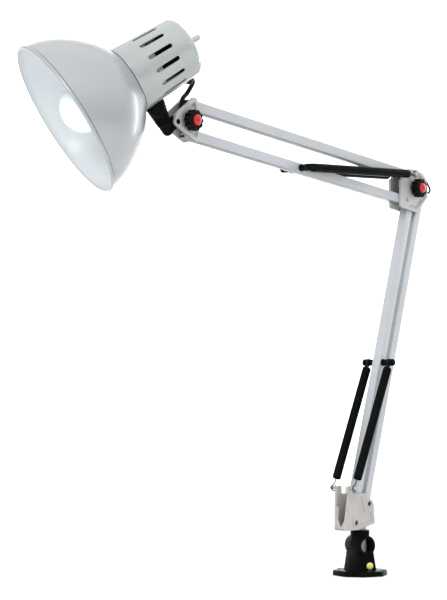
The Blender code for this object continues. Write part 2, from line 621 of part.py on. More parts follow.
def lamp_holder():
    """Socket in two parts, the switch on its back and the nut that holds it in the cap."""
    lathe("socket_shell", "black", along_head(101.3 * MM), HEAD_AXIS,
          [(0, 14 * MM), (0, 19.5 * MM), (20 * MM, 19 * MM), (26 * MM, 12 * MM), (34 * MM, 12 * MM),
           (34 * MM, 3.2 * MM), (14 * MM, 3.2 * MM), (14 * MM, 14 * MM)], 18)
    pipe("socket_ring", "white", along_head(80 * MM), along_head(101 * MM), 19.5 * MM, 14 * MM, 18)
    pipe("socket_nut", "steel", along_head(CAP_REAR + GAP), along_head(CAP_REAR + 2.3 * MM), 6 * MM, 3.7 * MM, 6)
    stem = lathe("switch_stem", "white", along_head(116.5 * MM), HEAD_AXIS,
                 [(0, 0), (0, 2.7 * MM), (25 * MM, 2.7 * MM), (26 * MM, 2.9 * MM), (35 * MM, 2.9 * MM),
                  (36 * MM, 2.1 * MM), (36 * MM, 0)], 16)
    stud_top = lever_line(LEVER_REACH - CAP_FRONT_R + 8.2 * MM)
    rod("lever_stud", "steel", lever_line(LEVER_REACH - CAP_FRONT_R - 8.5 * MM), stud_top, 2.6 * MM, 16)
    nut_from = lever_line(LEVER_REACH - CAP_FRONT_R + 5 * MM)
    washer_from = nut_from - LEVER_UP * 0.95 * MM
    pipe("swivel_washer", "steel", washer_from, nut_from - LEVER_UP * GAP, 5 * MM, 3.2 * MM, 16)
    pipe("stud_nut", "steel", nut_from, nut_from + LEVER_UP * 2.5 * MM, 5.2 * MM, 3.4 * MM, 6)
    return stem


def bulb():
    """Frosted bulb and its screw base."""
    globe = 24.5 * MM
    profile = [(globe - BULB_R, 0)]
    for k in range(1, 7):
        turn = math.pi * k / 9
        profile.append((globe - BULB_R * math.cos(turn), BULB_R * math.sin(turn)))
    profile += [(49 * MM, 17.5 * MM), (62 * MM, 14.2 * MM), (76 * MM, 12.9 * MM), (76 * MM, 11.9 * MM),
                (62 * MM, 13.2 * MM), (48.6 * MM, 16.5 * MM)]
    for k in range(6, 0, -1):
        turn = math.pi * k / 9
        thin = BULB_R - 1 * MM
        profile.append((globe - thin * math.cos(turn), thin * math.sin(turn)))
    profile.append((globe - BULB_R + 1 * MM, 0))
    lathe("bulb", "bulb", MOUTH, HEAD_AXIS, profile, 20)
    lathe("bulb_base", "brass", along_head(76.3 * MM), HEAD_AXIS,
          [(0, 12.1 * MM), (0, 12.9 * MM), (20 * MM, 12.9 * MM), (25 * MM, 8 * MM), (27 * MM, 4 * MM), (27 * MM, 0),
           (25 * MM, 0), (24.4 * MM, 7.4 * MM), (19.6 * MM, 12.1 * MM)], 18)


# Lead

def smooth_route(points, per_span):
    """Points along a Catmull-Rom curve through a route."""
    ends = [points[0] * 2 - points[1]] + points + [points[-1] * 2 - points[-2]]
    route = []
    for a, b, c, d in zip(ends, ends[1:], ends[2:], ends[3:]):
        for k in range(per_span):
            t = k / per_span
            route.append(0.5 * (2 * b + (c - a) * t + (2 * a - 5 * b + 4 * c - d) * t * t
                                + (3 * b - a - 3 * c + d) * t ** 3))
    route.append(points[-1])
    return route


def lead(name, points, radius, per_span=4, sides=10):
    """A stretch of round lead, in triangles."""
    route = smooth_route(points, per_span)
    bm = bmesh.new()
    rings = []
    for k, point in enumerate(route):
        along = (route[min(k + 1, len(route) - 1)] - route[max(k - 1, 0)]).normalized()
        side = along.cross(Y).normalized()
        other = along.cross(side)
        rings.append([bm.verts.new(point + (side * math.cos(turn) + other * math.sin(turn)) * radius)
                      for turn in (2 * math.pi * n / sides for n in range(sides))])
    for here, there in zip(rings, rings[1:]):
        for k in range(sides):
            n = (k + 1) % sides
            bm.faces.new((here[k], here[n], there[n], there[k]))
    bm.faces.new(rings[0])
    bm.faces.new(rings[-1])
    bmesh.ops.triangulate(bm, faces=bm.faces[:])
    return finish(bm, name, "black")


def leads():
    """The lead: cap to head bracket, through the top tube, round the elbow and down the rear tube."""
    leave = lead_exit()
    pipe("lead_grommet", "black", leave + LEVER_UP * 0.7 * MM, leave - LEVER_UP * 4 * MM, 3.1 * MM, 2.6 * MM, 16)
    above = HEAD_TOP + Vector((-1.5, 0, 13)) * MM
    lead("head_lead", [leave + LEVER_UP * 4 * MM, leave - LEVER_UP * 0.5 * MM, leave - LEVER_UP * 5 * MM,
                       leave - LEVER_UP * 10 * MM + Vector((5, 4, 1)) * MM,
                       above + Vector((-1, -5, 4.5)) * MM, above, above + Vector((-3.5, 0, -6)) * MM], 2.15 * MM)
    raise_by = Vector((-TO_HEAD.z, 0, TO_HEAD.x)) * -3 * MM
    strip("upper_tube_lead", HEAD_TOP + TO_HEAD * 4 * MM + raise_by, ELBOW_TOP - TO_HEAD * 4 * MM + raise_by)
    inward = Vector((UP_LOWER.z, 0, -UP_LOWER.x)) * 3 * MM
    strip("lower_tube_lead", REAR_PIVOT + UP_LOWER * 5 * MM + inward, ELBOW_REAR + UP_LOWER * 4 * MM + inward)
    start = ELBOW_TOP - TO_HEAD * 5.5 * MM + raise_by
    back = Vector((UP_LOWER.z, 0, -UP_LOWER.x))
    end = ELBOW_REAR + back * 8 * MM
    lead("elbow_lead", [start, start - TO_HEAD * 7 * MM + Vector((0, 0, 3)) * MM, ELBOW_REAR + Vector((3, 0, 17)) * MM,
                        ELBOW_REAR + Vector((12, 0, 9.5)) * MM, ELBOW_REAR + Vector((17.5, 0, 2)) * MM,
                        end + back * 6.5 * MM - UP_LOWER * 2 * MM, end], 1.1 * MM)


def strip(name, start, end):
    """A straight stretch of flat lead inside a tube."""
    along = (end - start).normalized()
    across = Vector((-along.z, 0, along.x))
    half = 0.9 * MM
    outline = [start - across * half, end - across * half, end + across * half, start + across * half]
    return prism(name, "black", outline, -2.1 * MM, 2.1 * MM)


def pairs_of(*stems):
    return [f"{stem}_{where}" for stem in stems for where in ("near", "far")]


def hang(joint, place, *pieces):
    """Parent the pieces that move together to an empty on their joint's axis."""
    empty = bpy.data.objects.new(f"{joint}_axis", None)
    empty.location = place
    bpy.context.scene.collection.objects.link(empty)
    for name in pieces:
        piece = bpy.data.objects[name]
        piece.parent = empty
        piece.matrix_parent_inverse = Matrix.Translation(-place)


def hang_all():
    hang("set_screw", Matrix.Rotation(BASE_TURN, 3, "Z") @ SET_SCREW, "brass_set_screw")
    hang("base_swivel", Vector(), "swivel_bracket", "lower_front_pin", "lower_rear_pin")
    hang("lower_arm", REAR_PIVOT, "lower_rear_tube", "lower_tube_lead")
    hang("lower_link", FRONT_PIVOT, "lower_front_tube", "lower_spring_pin")
    hang("lower_springs", LOWER_SPRING_PIN, *pairs_of("lower_sleeve", "lower_spring"))
    hang("lower_tails", LOWER_SPRING_ANCHOR, *pairs_of("lower_spring_tail"))
    hang("elbow", ELBOW_REAR, *pairs_of("elbow_plate"), "elbow_spacer", "elbow_front_pin", "elbow_rear_pin",
         "elbow_bottom_pin", "elbow_top_pin", "elbow_lead")
    hang("elbow_clamp", ELBOW_BOLT, "elbow_knob", "elbow_knob_cap", "elbow_bolt")
    hang("upper_arm", ELBOW_TOP, "upper_top_tube", "upper_tube_lead")
    hang("upper_link", ELBOW_BOTTOM, "upper_bottom_tube", "upper_spring_pin")
    hang("upper_springs", UPPER_SPRING_PIN, *pairs_of("upper_sleeve", "upper_spring"))
    hang("upper_tails", UPPER_SPRING_ANCHOR, *pairs_of("upper_spring_tail"))
    hang("head_bracket", HEAD_TOP, *pairs_of("head_plate"), "head_spacer", "head_top_pin", "head_bottom_pin",
         "nose_pin")
    hang("head_clamp", HEAD_BOLT, "head_knob", "head_knob_cap", "head_bolt")
    hang("head_tilt", NOSE, "head_lever", "lever_stud", "stud_nut", "swivel_washer", "head_lead")
    hang("head_swivel", LEVER_FOOT, "cap_housing", "swivel_saddle", "shade", "socket_shell", "socket_ring",
         "socket_nut", "lead_grommet")
    hang("bulb_thread", MOUTH, "bulb", "bulb_base")
    hang("switch", MOUTH, "switch_stem")


def main():
    for old in list(bpy.data.objects):
        bpy.data.objects.remove(old)
    base_bracket()
    brass_set_screw()
    swivel_bracket()
    square_tube("lower_front_tube", FRONT_PIVOT, ELBOW_FRONT, RIVET_HOLE_R, LOWER_SPRING_PIN)
    square_tube("lower_rear_tube", REAR_PIVOT, ELBOW_REAR, RIVET_HOLE_R)
    square_tube("upper_top_tube", ELBOW_TOP, HEAD_TOP, HOLE_R)
    square_tube("upper_bottom_tube", ELBOW_BOTTOM, HEAD_BOTTOM, HOLE_R, UPPER_SPRING_PIN)
    for name, centre in (("lower_front_pin", FRONT_PIVOT), ("lower_rear_pin", REAR_PIVOT)):
        pivot_pin(name, centre, PLATE_OUT - 0.6 * MM, RIVET_R, 1.8 * MM)
    for name, centre in (("elbow_front_pin", ELBOW_FRONT), ("elbow_rear_pin", ELBOW_REAR),
                         ("elbow_bottom_pin", ELBOW_BOTTOM), ("head_top_pin", HEAD_TOP),
                         ("head_bottom_pin", HEAD_BOTTOM)):
        pivot_pin(name, centre, SEAT_HALF - 0.2 * MM, PIN_R, 1 * MM)
    lathe("elbow_top_pin", "steel", ELBOW_TOP - Y * 15.9 * MM, Y,
          [(0, 0), (0, 2.3 * MM), (1.2 * MM, 2.3 * MM), (1.2 * MM, PIN_R), (30.6 * MM, PIN_R), (30.6 * MM, 2.3 * MM),
           (31.8 * MM, 2.3 * MM), (31.8 * MM, 0)], 16)
    lathe("nose_pin", "black", NOSE - Y * (PLATE_OUT + 0.8 * MM), Y,
          [(0, 0), (0, 2.6 * MM), (0.5 * MM, 2.6 * MM), (0.5 * MM, PIN_R),
           (2 * PLATE_OUT + 1.1 * MM, PIN_R), (2 * PLATE_OUT + 1.1 * MM, 2.6 * MM),
           (2 * PLATE_OUT + 1.6 * MM, 2.6 * MM), (2 * PLATE_OUT + 1.6 * MM, 0)], 16)
    cross_pin("lower_spring_pin", LOWER_SPRING_PIN)
    cross_pin("upper_spring_pin", UPPER_SPRING_PIN)
    for side in (-1, 1):
        spring_set("lower", LOWER_SPRING_PIN, LOWER_SPRING_ANCHOR, 6.5 * MM, 132.3 * MM, side)
        spring_set("upper", UPPER_SPRING_PIN, UPPER_SPRING_ANCHOR, 7 * MM, 173.4 * MM, side)
    elbow_plates()
    knob_set("elbow", ELBOW_BOLT)
    head_plates()
    knob_set("head", HEAD_BOLT)
    head_lever()
    swivel_saddle()
    cap_housing()
    shade()
    lamp_holder()
    bulb()
    leads()
    hang_all()


main()
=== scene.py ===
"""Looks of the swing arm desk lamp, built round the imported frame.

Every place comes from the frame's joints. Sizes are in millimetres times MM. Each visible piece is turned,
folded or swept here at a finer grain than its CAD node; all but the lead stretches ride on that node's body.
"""
import json
import math

import bmesh
import bpy
from mathutils import Matrix, Vector


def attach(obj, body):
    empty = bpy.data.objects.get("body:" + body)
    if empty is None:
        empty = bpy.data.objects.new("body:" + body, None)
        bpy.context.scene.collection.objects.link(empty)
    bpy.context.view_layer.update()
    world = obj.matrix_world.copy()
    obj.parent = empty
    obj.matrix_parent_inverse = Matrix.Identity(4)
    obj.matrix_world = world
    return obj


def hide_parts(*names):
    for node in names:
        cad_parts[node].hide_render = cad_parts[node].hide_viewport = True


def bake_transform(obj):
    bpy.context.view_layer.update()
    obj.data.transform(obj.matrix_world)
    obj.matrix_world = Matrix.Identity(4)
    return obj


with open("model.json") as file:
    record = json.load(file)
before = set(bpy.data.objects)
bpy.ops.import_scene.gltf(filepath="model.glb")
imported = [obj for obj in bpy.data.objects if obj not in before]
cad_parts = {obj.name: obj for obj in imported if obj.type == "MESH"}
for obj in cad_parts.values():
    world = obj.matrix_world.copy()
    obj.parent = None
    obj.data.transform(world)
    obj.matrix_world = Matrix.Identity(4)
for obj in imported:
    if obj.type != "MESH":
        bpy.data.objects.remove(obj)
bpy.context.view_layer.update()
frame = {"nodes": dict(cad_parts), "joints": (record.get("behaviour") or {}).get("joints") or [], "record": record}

MM = 0.001
X, Y, Z = Vector((1, 0, 0)), Vector((0, 1, 0)), Vector((0, 0, 1))
JOINTS = {joint["name"]: joint for joint in frame["joints"]}


def pivot(joint):
    return Vector(JOINTS[joint]["pos_m"])


def axis_of(joint):
    return Vector(JOINTS[joint]["axis"]).normalized()


# Places, from the joints
FRONT_PIVOT, REAR_PIVOT = pivot("lower_link"), pivot("lower_arm")
ELBOW_REAR = pivot("elbow_level")
ELBOW_FRONT = FRONT_PIVOT + ELBOW_REAR - REAR_PIVOT
ELBOW_BOTTOM, ELBOW_TOP = pivot("upper_link"), pivot("upper_arm")
ELBOW_BOLT = pivot("elbow_knob_turn")
HEAD_TOP, NOSE, HEAD_BOLT = pivot("head_level"), pivot("head_tilt"), pivot("head_knob_turn")
HEAD_BOTTOM = HEAD_TOP + ELBOW_BOTTOM - ELBOW_TOP
LOWER_SPRING_PIN, LOWER_ANCHOR = pivot("lower_spring_turn"), pivot("lower_tail_turn")
UPPER_SPRING_PIN, UPPER_ANCHOR = pivot("upper_spring_turn"), pivot("upper_tail_turn")
LEVER_FOOT, LEVER_UP = pivot("head_swivel"), axis_of("head_swivel")
LEVER_BACK = Vector((LEVER_UP.z, 0, -LEVER_UP.x))
MOUTH, HEAD_AXIS = pivot("bulb_turn"), axis_of("bulb_turn")
SET_SCREW, SCREW_AXIS = pivot("set_screw_turn"), axis_of("set_screw_turn")
UP_LOWER = (ELBOW_FRONT - FRONT_PIVOT).normalized()
TO_HEAD = (HEAD_TOP - ELBOW_TOP).normalized()
BASE_TURN = math.atan2(-SCREW_AXIS.x, SCREW_AXIS.y)

# Sizes shared with the CAD
TUBE, TUBE_WALL = 10 * MM, 0.9 * MM
PLATE_IN, PLATE_OUT = 5.4 * MM, 8.3 * MM
PIN_R, HOLE_R = 1.8 * MM, 2.1 * MM
RIVET_R, RIVET_HOLE_R = 2.5 * MM, 2.8 * MM
BORE_R, SHANK_R = 7 * MM, 6.6 * MM
CROSS_Z = 31 * MM
COLLAR_TOP = 46.8 * MM
FLANGE_R, FLANGE_T = 28.5 * MM, 5.5 * MM
SPRING_Y = 13.5 * MM
SLEEVE_R, SLEEVE_BORE, COIL_R, WIRE_R, HOOK_R = 4.5 * MM, 3.6 * MM, 2.9 * MM, 0.6 * MM, 0.75 * MM
MOUTH_R, SHADE_DEPTH, SHADE_WALL = 75.5 * MM, 69.5 * MM, 0.9 * MM
CAP_FRONT_R, CAP_REAR_R, CAP_REAR, CAP_CORNER = 32.4 * MM, 29.2 * MM, 137.5 * MM, 8 * MM
CAP_WALL = 1.3 * MM
SLOTS, SLOT_FROM, SLOT_TO, SLOT_W = 14, 90.5 * MM, 116.5 * MM, 4 * MM
BULB_R, BULB_CENTRE = 24 * MM, 24.5 * MM
LEVER_REACH = 59.4 * MM
BOLT_HOLE_R = 2.3 * MM
HOOK_LOOP_R = 3.3 * MM
OVERCUT = 5 * MM
LEAD_R, THIN_LEAD_R = 2.15 * MM, 1.1 * MM
SIDES = (-1, "near"), (1, "far")
LEVER_AHEAD = (NOSE - LEVER_FOOT).length


# Materials

class Nodes:
    """Short calls for building a node tree round one Principled shader."""

    def __init__(self, name):
        self.material = bpy.data.materials.new(name)
        self.material.use_nodes = True
        self.tree = self.material.node_tree
        self.shader = self.tree.nodes["Principled BSDF"]
        self.place = self.tree.nodes.new("ShaderNodeTexCoord").outputs["Object"]

    def link(self, source, target):
        self.tree.links.new(source, target)

    def noise(self, scale, detail=3.0, rough=0.55, stretch=None):
        place = self.place
        if stretch:
            mapping = self.tree.nodes.new("ShaderNodeMapping")
            mapping.inputs["Scale"].default_value = stretch
            self.link(place, mapping.inputs["Vector"])
            place = mapping.outputs["Vector"]
        node = self.tree.nodes.new("ShaderNodeTexNoise")
        node.inputs["Scale"].default_value = scale
        node.inputs["Detail"].default_value = detail
        node.inputs["Roughness"].default_value = rough
        self.link(place, node.inputs["Vector"])
        return node.outputs["Fac"]

    def spread(self, value, low, high, start=0.3, end=0.7):
        node = self.tree.nodes.new("ShaderNodeMapRange")
        node.inputs["From Min"].default_value = start
        node.inputs["From Max"].default_value = end
        node.inputs["To Min"].default_value = low
        node.inputs["To Max"].default_value = high
        self.link(value, node.inputs["Value"])
        return node.outputs["Result"]

    def mix(self, share, low, high):
        node = self.tree.nodes.new("ShaderNodeMix")
        node.data_type = "RGBA"
        for socket, value in ((node.inputs[6], low), (node.inputs[7], high)):
            if isinstance(value, tuple):
                socket.default_value = (*value, 1)
            else:
                self.link(value, socket)
        self.link(share, node.inputs[0])
        return node.outputs[2]

    def bump(self, height, strength, distance):
        node = self.tree.nodes.new("ShaderNodeBump")
        node.inputs["Strength"].default_value = strength
        node.inputs["Distance"].default_value = distance
        self.link(height, node.inputs["Height"])
        self.link(node.outputs["Normal"], self.shader.inputs["Normal"])


def shade_of(colour, share):
    return tuple(min(1, c * share) for c in colour)


def surface(name, colour, rough, metallic=0.0, coat=0.0, cloud=0.06, cloud_scale=18, grain_scale=900,
            grain=0.12, grain_depth=0.05 * MM, rough_spread=0.07, wear=None, stretch=None, specular=0.5,
            underside_shade=1.0):
    """One finish: soft colour clouding, fine speckle, uneven gloss, a fine skin, scuffs where wear is a colour,
    and painted shade on faces that look down, which keep the given share of their colour."""
    nodes = Nodes(name)
    shader = nodes.shader
    shader.inputs["Metallic"].default_value = metallic
    shader.inputs["Coat Weight"].default_value = coat
    shader.inputs["Coat Roughness"].default_value = 0.12
    shader.inputs["Specular IOR Level"].default_value = specular
    clouds = nodes.spread(nodes.noise(cloud_scale, 4), 0, 1)
    tone = nodes.mix(clouds, shade_of(colour, 1 - cloud), shade_of(colour, 1 + cloud))
    fine = nodes.noise(grain_scale, 2, 0.6, stretch)
    tone = nodes.mix(nodes.spread(fine, 0, 0.35, 0.55, 0.75), tone, shade_of(colour, 0.8))
    if wear:
        scuffs = nodes.spread(nodes.noise(75, 6, 0.75), 0, 0.5, 0.66, 0.72)
        tone = nodes.mix(scuffs, tone, wear)
    # Painted shade: faces that look down are darkened to the given share of their colour.
    if underside_shade < 1:
        facing = nodes.tree.nodes.new("ShaderNodeSeparateXYZ")
        nodes.link(nodes.tree.nodes["Texture Coordinate"].outputs["Normal"], facing.inputs[0])
        tone = nodes.mix(nodes.spread(facing.outputs["Z"], 1, 0, -0.85, -0.3), tone, shade_of(colour, underside_shade))
    nodes.link(tone, shader.inputs["Base Color"])
    smears = nodes.noise(45, 5, 0.6)
    nodes.link(nodes.spread(smears, rough - rough_spread, rough + rough_spread), shader.inputs["Roughness"])
    nodes.bump(fine, grain, grain_depth)
    return nodes.material


def frosted_glow():
    """White frosted glass with the lamp lit behind it, brightest at the middle of the globe."""
    nodes = Nodes("frosted_bulb")
    shader = nodes.shader
    tone = nodes.mix(nodes.spread(nodes.noise(40, 3), 0, 1), (0.56, 0.61, 0.65), (0.62, 0.67, 0.7))
    nodes.link(tone, shader.inputs["Base Color"])
    nodes.link(nodes.spread(nodes.noise(300, 3), 0.32, 0.45), shader.inputs["Roughness"])
    shader.inputs["Emission Color"].default_value = (0.93, 0.97, 1, 1)
    facing = nodes.tree.nodes.new("ShaderNodeVectorMath")
    facing.operation = "DOT_PRODUCT"
    nodes.link(nodes.tree.nodes["Texture Coordinate"].outputs["Normal"], facing.inputs[0])
    facing.inputs[1].default_value = (-HEAD_AXIS - Y * 0.35).normalized()
    nodes.link(nodes.spread(facing.outputs["Value"], 0.02, 0.8, 0.45, 1), shader.inputs["Emission Strength"])
    shader.inputs["Coat Weight"].default_value = 0.3
    nodes.bump(nodes.noise(1500, 2), 0.08, 0.03 * MM)
    return nodes.material


# Entries that set a share for faces that look down paint shade on their undersides.
FINISH = {
    "silver_shade": surface("silver_shade", (0.375, 0.395, 0.41), 0.3, 0.35, coat=0.3, cloud=0.05,
                            cloud_scale=10,
                            grain=0.06, grain_scale=1100, rough_spread=0.04),
    "shade_white": surface("shade_white", (0.72, 0.76, 0.785), 0.42, 0.0, coat=0.2, cloud=0.04, grain=0.06),
    "silver_cap": surface("silver_cap", (0.4, 0.425, 0.43), 0.24, 0.35, coat=0.35, cloud=0.06, cloud_scale=12,
                          grain=0.12, grain_scale=1100, rough_spread=0.05, underside_shade=0.75),
    "silver_tube": surface("silver_tube", (0.48, 0.505, 0.53), 0.36, 0.15, coat=0.3, cloud=0.05,
                           cloud_scale=25,
                           grain=0.1, grain_scale=1300, wear=(0.4, 0.42, 0.44), underside_shade=0.25),
    "grey_casting": surface("grey_casting", (0.45, 0.46, 0.46), 0.46, coat=0.15, cloud=0.07, cloud_scale=60,
                            grain=0.2, grain_scale=1000, wear=(0.4, 0.39, 0.35), underside_shade=0.4),
    "beige_casting": surface("beige_casting", (0.43, 0.415, 0.395), 0.5, coat=0.1, cloud=0.08, cloud_scale=60,
                             grain=0.22, grain_scale=900, wear=(0.42, 0.38, 0.33), underside_shade=0.5),
    "black_plastic": surface("black_plastic", (0.004, 0.0055, 0.005), 0.24, cloud=0.25, cloud_scale=30,
                             grain=0.2,
                             grain_scale=1200, wear=(0.008, 0.009, 0.009), specular=0.02),
    "knob_black": surface("knob_black", (0.004, 0.004, 0.0045), 0.26, cloud=0.2, grain=0.15, specular=0.08),
    "steel": surface("steel", (0.5, 0.5, 0.5), 0.3, 1.0, cloud=0.1, grain=0.15, stretch=(1, 6, 1)),
    "rivet_brown": surface("rivet_brown", (0.07, 0.05, 0.035), 0.5, 0.4, cloud=0.3, grain=0.2,
                           wear=(0.25, 0.22, 0.17)),
    "spring_steel": surface("spring_steel", (0.014, 0.014, 0.015), 0.34, 0.3, cloud=0.2, grain_scale=2000,
                            grain=0.1,
                            specular=0.3),
    "brass": surface("brass", (0.8, 0.74, 0.2), 0.36, 0.4, cloud=0.12, grain=0.15, wear=(0.5, 0.42, 0.12)),
    "red_cap": surface("red_cap", (0.5, 0.008, 0.015), 0.22, coat=0.5, cloud=0.05, grain=0.04, specular=0.3),
    "porcelain": surface("porcelain", (0.72, 0.72, 0.68), 0.25, coat=0.4, cloud=0.05, grain=0.05),
    "switch_white": surface("switch_white", (0.5, 0.51, 0.48), 0.35, coat=0.2, cloud=0.05, grain=0.1,
                            underside_shade=0.4),
    "bulb_glass": frosted_glow(),
    "lead_rubber": surface("lead_rubber", (0.006, 0.006, 0.006), 0.45, cloud=0.2, grain=0.3, grain_scale=1600,
                           specular=0.15),
}


# Mesh helpers

def smooth(obj, angle=35):
    obj.data.shade_smooth()
    obj.data.set_sharp_from_angle(angle=math.radians(angle))
    return obj


def make(bm, name, *slots):
    """A bmesh becomes an object in world coordinates."""
    bmesh.ops.recalc_face_normals(bm, faces=bm.faces[:])
    mesh = bpy.data.meshes.new(name)
    bm.to_mesh(mesh)
    bm.free()
    obj = bpy.data.objects.new(name, mesh)
    bpy.context.scene.collection.objects.link(obj)
    for slot in slots:
        mesh.materials.append(FINISH[slot])
    return smooth(obj)


def settle(obj, angle=35):
    """Apply the modifiers, so that the mesh is the final one."""
    graph = bpy.context.evaluated_depsgraph_get()
    obj.data = bpy.data.meshes.new_from_object(obj.evaluated_get(graph))
    obj.modifiers.clear()
    return smooth(obj, angle)


def soften(obj, width, segments=2, angle=40):
    """Round the edges."""
    bevel = obj.modifiers.new("Bevel", "BEVEL")
    bevel.width = width
    bevel.segments = segments
    bevel.limit_method = "ANGLE"
    bevel.angle_limit = math.radians(angle)
    bevel.use_clamp_overlap = True
    return settle(obj, 50)


def cut(obj, *tools, operation="DIFFERENCE"):
    for tool in tools:
        modifier = obj.modifiers.new(operation.title(), "BOOLEAN")
        modifier.operation = operation
        modifier.solver = "EXACT"
        modifier.object = tool
        settle(obj)
        bpy.data.objects.remove(tool)
    return obj


def place(obj, body, slot, *nodes):
    """Ride on a body and stand for CAD nodes, which are hidden. The slot is not used."""
    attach(obj, body)
    if nodes:
        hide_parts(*nodes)
    return obj


def frame_on(axis):
    axis = axis.normalized()
    helper = Z if abs(axis.z) < 0.9 else X
    side = axis.cross(helper).normalized()
    return side, axis.cross(side)


def around(side, other, turn):
    """The direction at an angle between two directions."""
    return side * math.cos(turn) + other * math.sin(turn)


def mm(*pairs):
    """Pairs of millimetres in metres."""
    return [(first * MM, second * MM) for first, second in pairs]


def bridge(bm, here, there):
    """Faces between two closed loops of the same length."""
    for k in range(len(here)):
        n = (k + 1) % len(here)
        bm.faces.new((here[k], here[n], there[n], there[k]))


def arc(centre, radius, start, end, steps):
    """Points on an arc, as (distance along, radius) pairs, angles in degrees."""
    points = []
    for step in range(steps + 1):
        turn = math.radians(start + (end - start) * step / steps)
        points.append((centre[0] + radius * math.cos(turn), centre[1] + radius * math.sin(turn)))
    return points


def round_loop(points, radius, steps=3):
    """Turn the corners of a closed loop of pairs into arcs. Points on the turning axis stay."""
    made = []
    count = len(points)
    for k in range(count):
        here = Vector(points[k])
        before, after = Vector(points[k - 1]) - here, Vector(points[(k + 1) % count]) - here
        reach = min(radius, before.length * 0.45, after.length * 0.45)
        if abs(here.y) < 1e-6 or reach < 1e-6:
            made.append(tuple(here))
            continue
        first, last = here + before.normalized() * reach, here + after.normalized() * reach
        for step in range(steps + 1):
            t = step / steps
            made.append(tuple(first * (1 - t) ** 2 + here * 2 * t * (1 - t) + last * t * t))
    return made


def turned(name, slot, start, axis, profile, segments=48, radius_of=None, inner_slot=None, inner_from=None):
    """A turned solid. profile is a closed loop of (distance along the axis, radius). radius_of may change the
    radius with the angle, and faces from inner_from on may take a second slot."""
    axis = axis.normalized()
    side, other = frame_on(axis)
    bm = bmesh.new()
    rings = []
    for along, radius in profile:
        centre = start + axis * along
        if radius < 1e-7:
            rings.append([bm.verts.new(centre)])
            continue
        ring = []
        for k in range(segments):
            turn = 2 * math.pi * k / segments
            reach = radius_of(turn, along, radius) if radius_of else radius
            ring.append(bm.verts.new(centre + around(side, other, turn) * reach))
        rings.append(ring)
    for index, (here, there) in enumerate(zip(rings, rings[1:] + rings[:1])):
        if len(here) == 1 and len(there) == 1:
            continue
        for k in range(segments):
            n = (k + 1) % segments
            if len(here) == 1:
                face = bm.faces.new((here[0], there[k], there[n]))
            elif len(there) == 1:
                face = bm.faces.new((here[k], here[n], there[0]))
            else:
                face = bm.faces.new((here[k], here[n], there[n], there[k]))
            if inner_from is not None and index >= inner_from:
                face.material_index = 1
    slots = (slot, inner_slot) if inner_slot else (slot,)
    return make(bm, name, *slots)


def pipe(name, slot, start, end, radius, bore, segments=32, edge=0.0):
    length = (end - start).length
    profile = [(0, bore), (0, radius), (length, radius), (length, bore)]
    if edge:
        profile = round_loop(profile, edge)
    return turned(name, slot, start, end - start, profile, segments)


def rod(name, slot, start, end, radius, segments=32, edge=0.0):
    return pipe(name, slot, start, end, radius, 0, segments, edge)


def cross_cut(centre, radius, half=20 * MM):
    return rod("cutter", "steel", centre - Y * half, centre + Y * half, radius)


def solid_between(name, slot, low, high):
    """A solid between two outlines with the same number of points."""
    bm = bmesh.new()
    loops = [[bm.verts.new(point) for point in outline] for outline in (low, high)]
    for loop in loops:
        bm.faces.new(loop)
    bridge(bm, *loops)
    return make(bm, name, slot)


def prism(name, slot, outline, y_low, y_high):
    """An outline in the XZ plane, thick along Y."""
    low, high = ([Vector((p.x, y, p.z)) for p in outline] for y in (y_low, y_high))
    return solid_between(name, slot, low, high)


def at(reference, pairs):
    return [reference + Vector((x, 0, z)) * MM for x, z in pairs]


def corner_of(corners, k):
    """The directions from a corner to its neighbours, and half the angle between them."""
    before = (corners[k - 1] - corners[k]).normalized()
    after = (corners[(k + 1) % len(corners)] - corners[k]).normalized()
    return before, after, math.acos(max(-1, min(1, before.dot(after)))) / 2


def round_corners(corners, radii, steps=6):
    points = []
    for k, corner in enumerate(corners):
        before, after, half = corner_of(corners, k)
        reach = radii[k] / math.tan(half)
        centre = corner + (before + after).normalized() * (radii[k] / math.sin(half))
        first = corner + before * reach - centre
        last = corner + after * reach - centre
        for step in range(steps + 1):
            points.append(centre + first.lerp(last, step / steps).normalized() * radii[k])
    return points


def inset(corners, amount):
    """Move each corner of a polygon inwards, so that every side moves by the same amount."""
    made = []
    middle = sum(corners, Vector()) / len(corners)
    for k, corner in enumerate(corners):
        before, after, half = corner_of(corners, k)
        inward = (before + after).normalized()
        if inward.dot(middle - corner) < 0:
            inward = -inward
        made.append(corner + inward * (amount / math.sin(half)))
    return made


def sweep(name, slot, points, radius, sides=12):
    """A round wire or lead along a list of points."""
    bm = bmesh.new()
    rings = []
    count = len(points)
    normal = None
    for k, point in enumerate(points):
        tangent = (points[min(k + 1, count - 1)] - points[max(k - 1, 0)]).normalized()
        if normal is None:
            normal = frame_on(tangent)[0]
        normal = (normal - tangent * normal.dot(tangent)).normalized()
        other = tangent.cross(normal)
        rings.append([bm.verts.new(point + around(normal, other, 2 * math.pi * s / sides) * radius)
                      for s in range(sides)])
    for here, there in zip(rings, rings[1:]):
        bridge(bm, here, there)
    bm.faces.new(rings[0])
    bm.faces.new(rings[-1])
    return make(bm, name, slot)


def smooth_route(points, per_span):
    """Points along a Catmull-Rom curve through a route."""
    ends = [points[0] * 2 - points[1]] + points + [points[-1] * 2 - points[-2]]
    route = []
    for a, b, c, d in zip(ends, ends[1:], ends[2:], ends[3:]):
        for k in range(per_span):
            t = k / per_span
            route.append(0.5 * (2 * b + (c - a) * t + (2 * a - 5 * b + 4 * c - d) * t * t
                                + (3 * b - a - 3 * c + d) * t ** 3))
    route.append(points[-1])
    return route


# Base

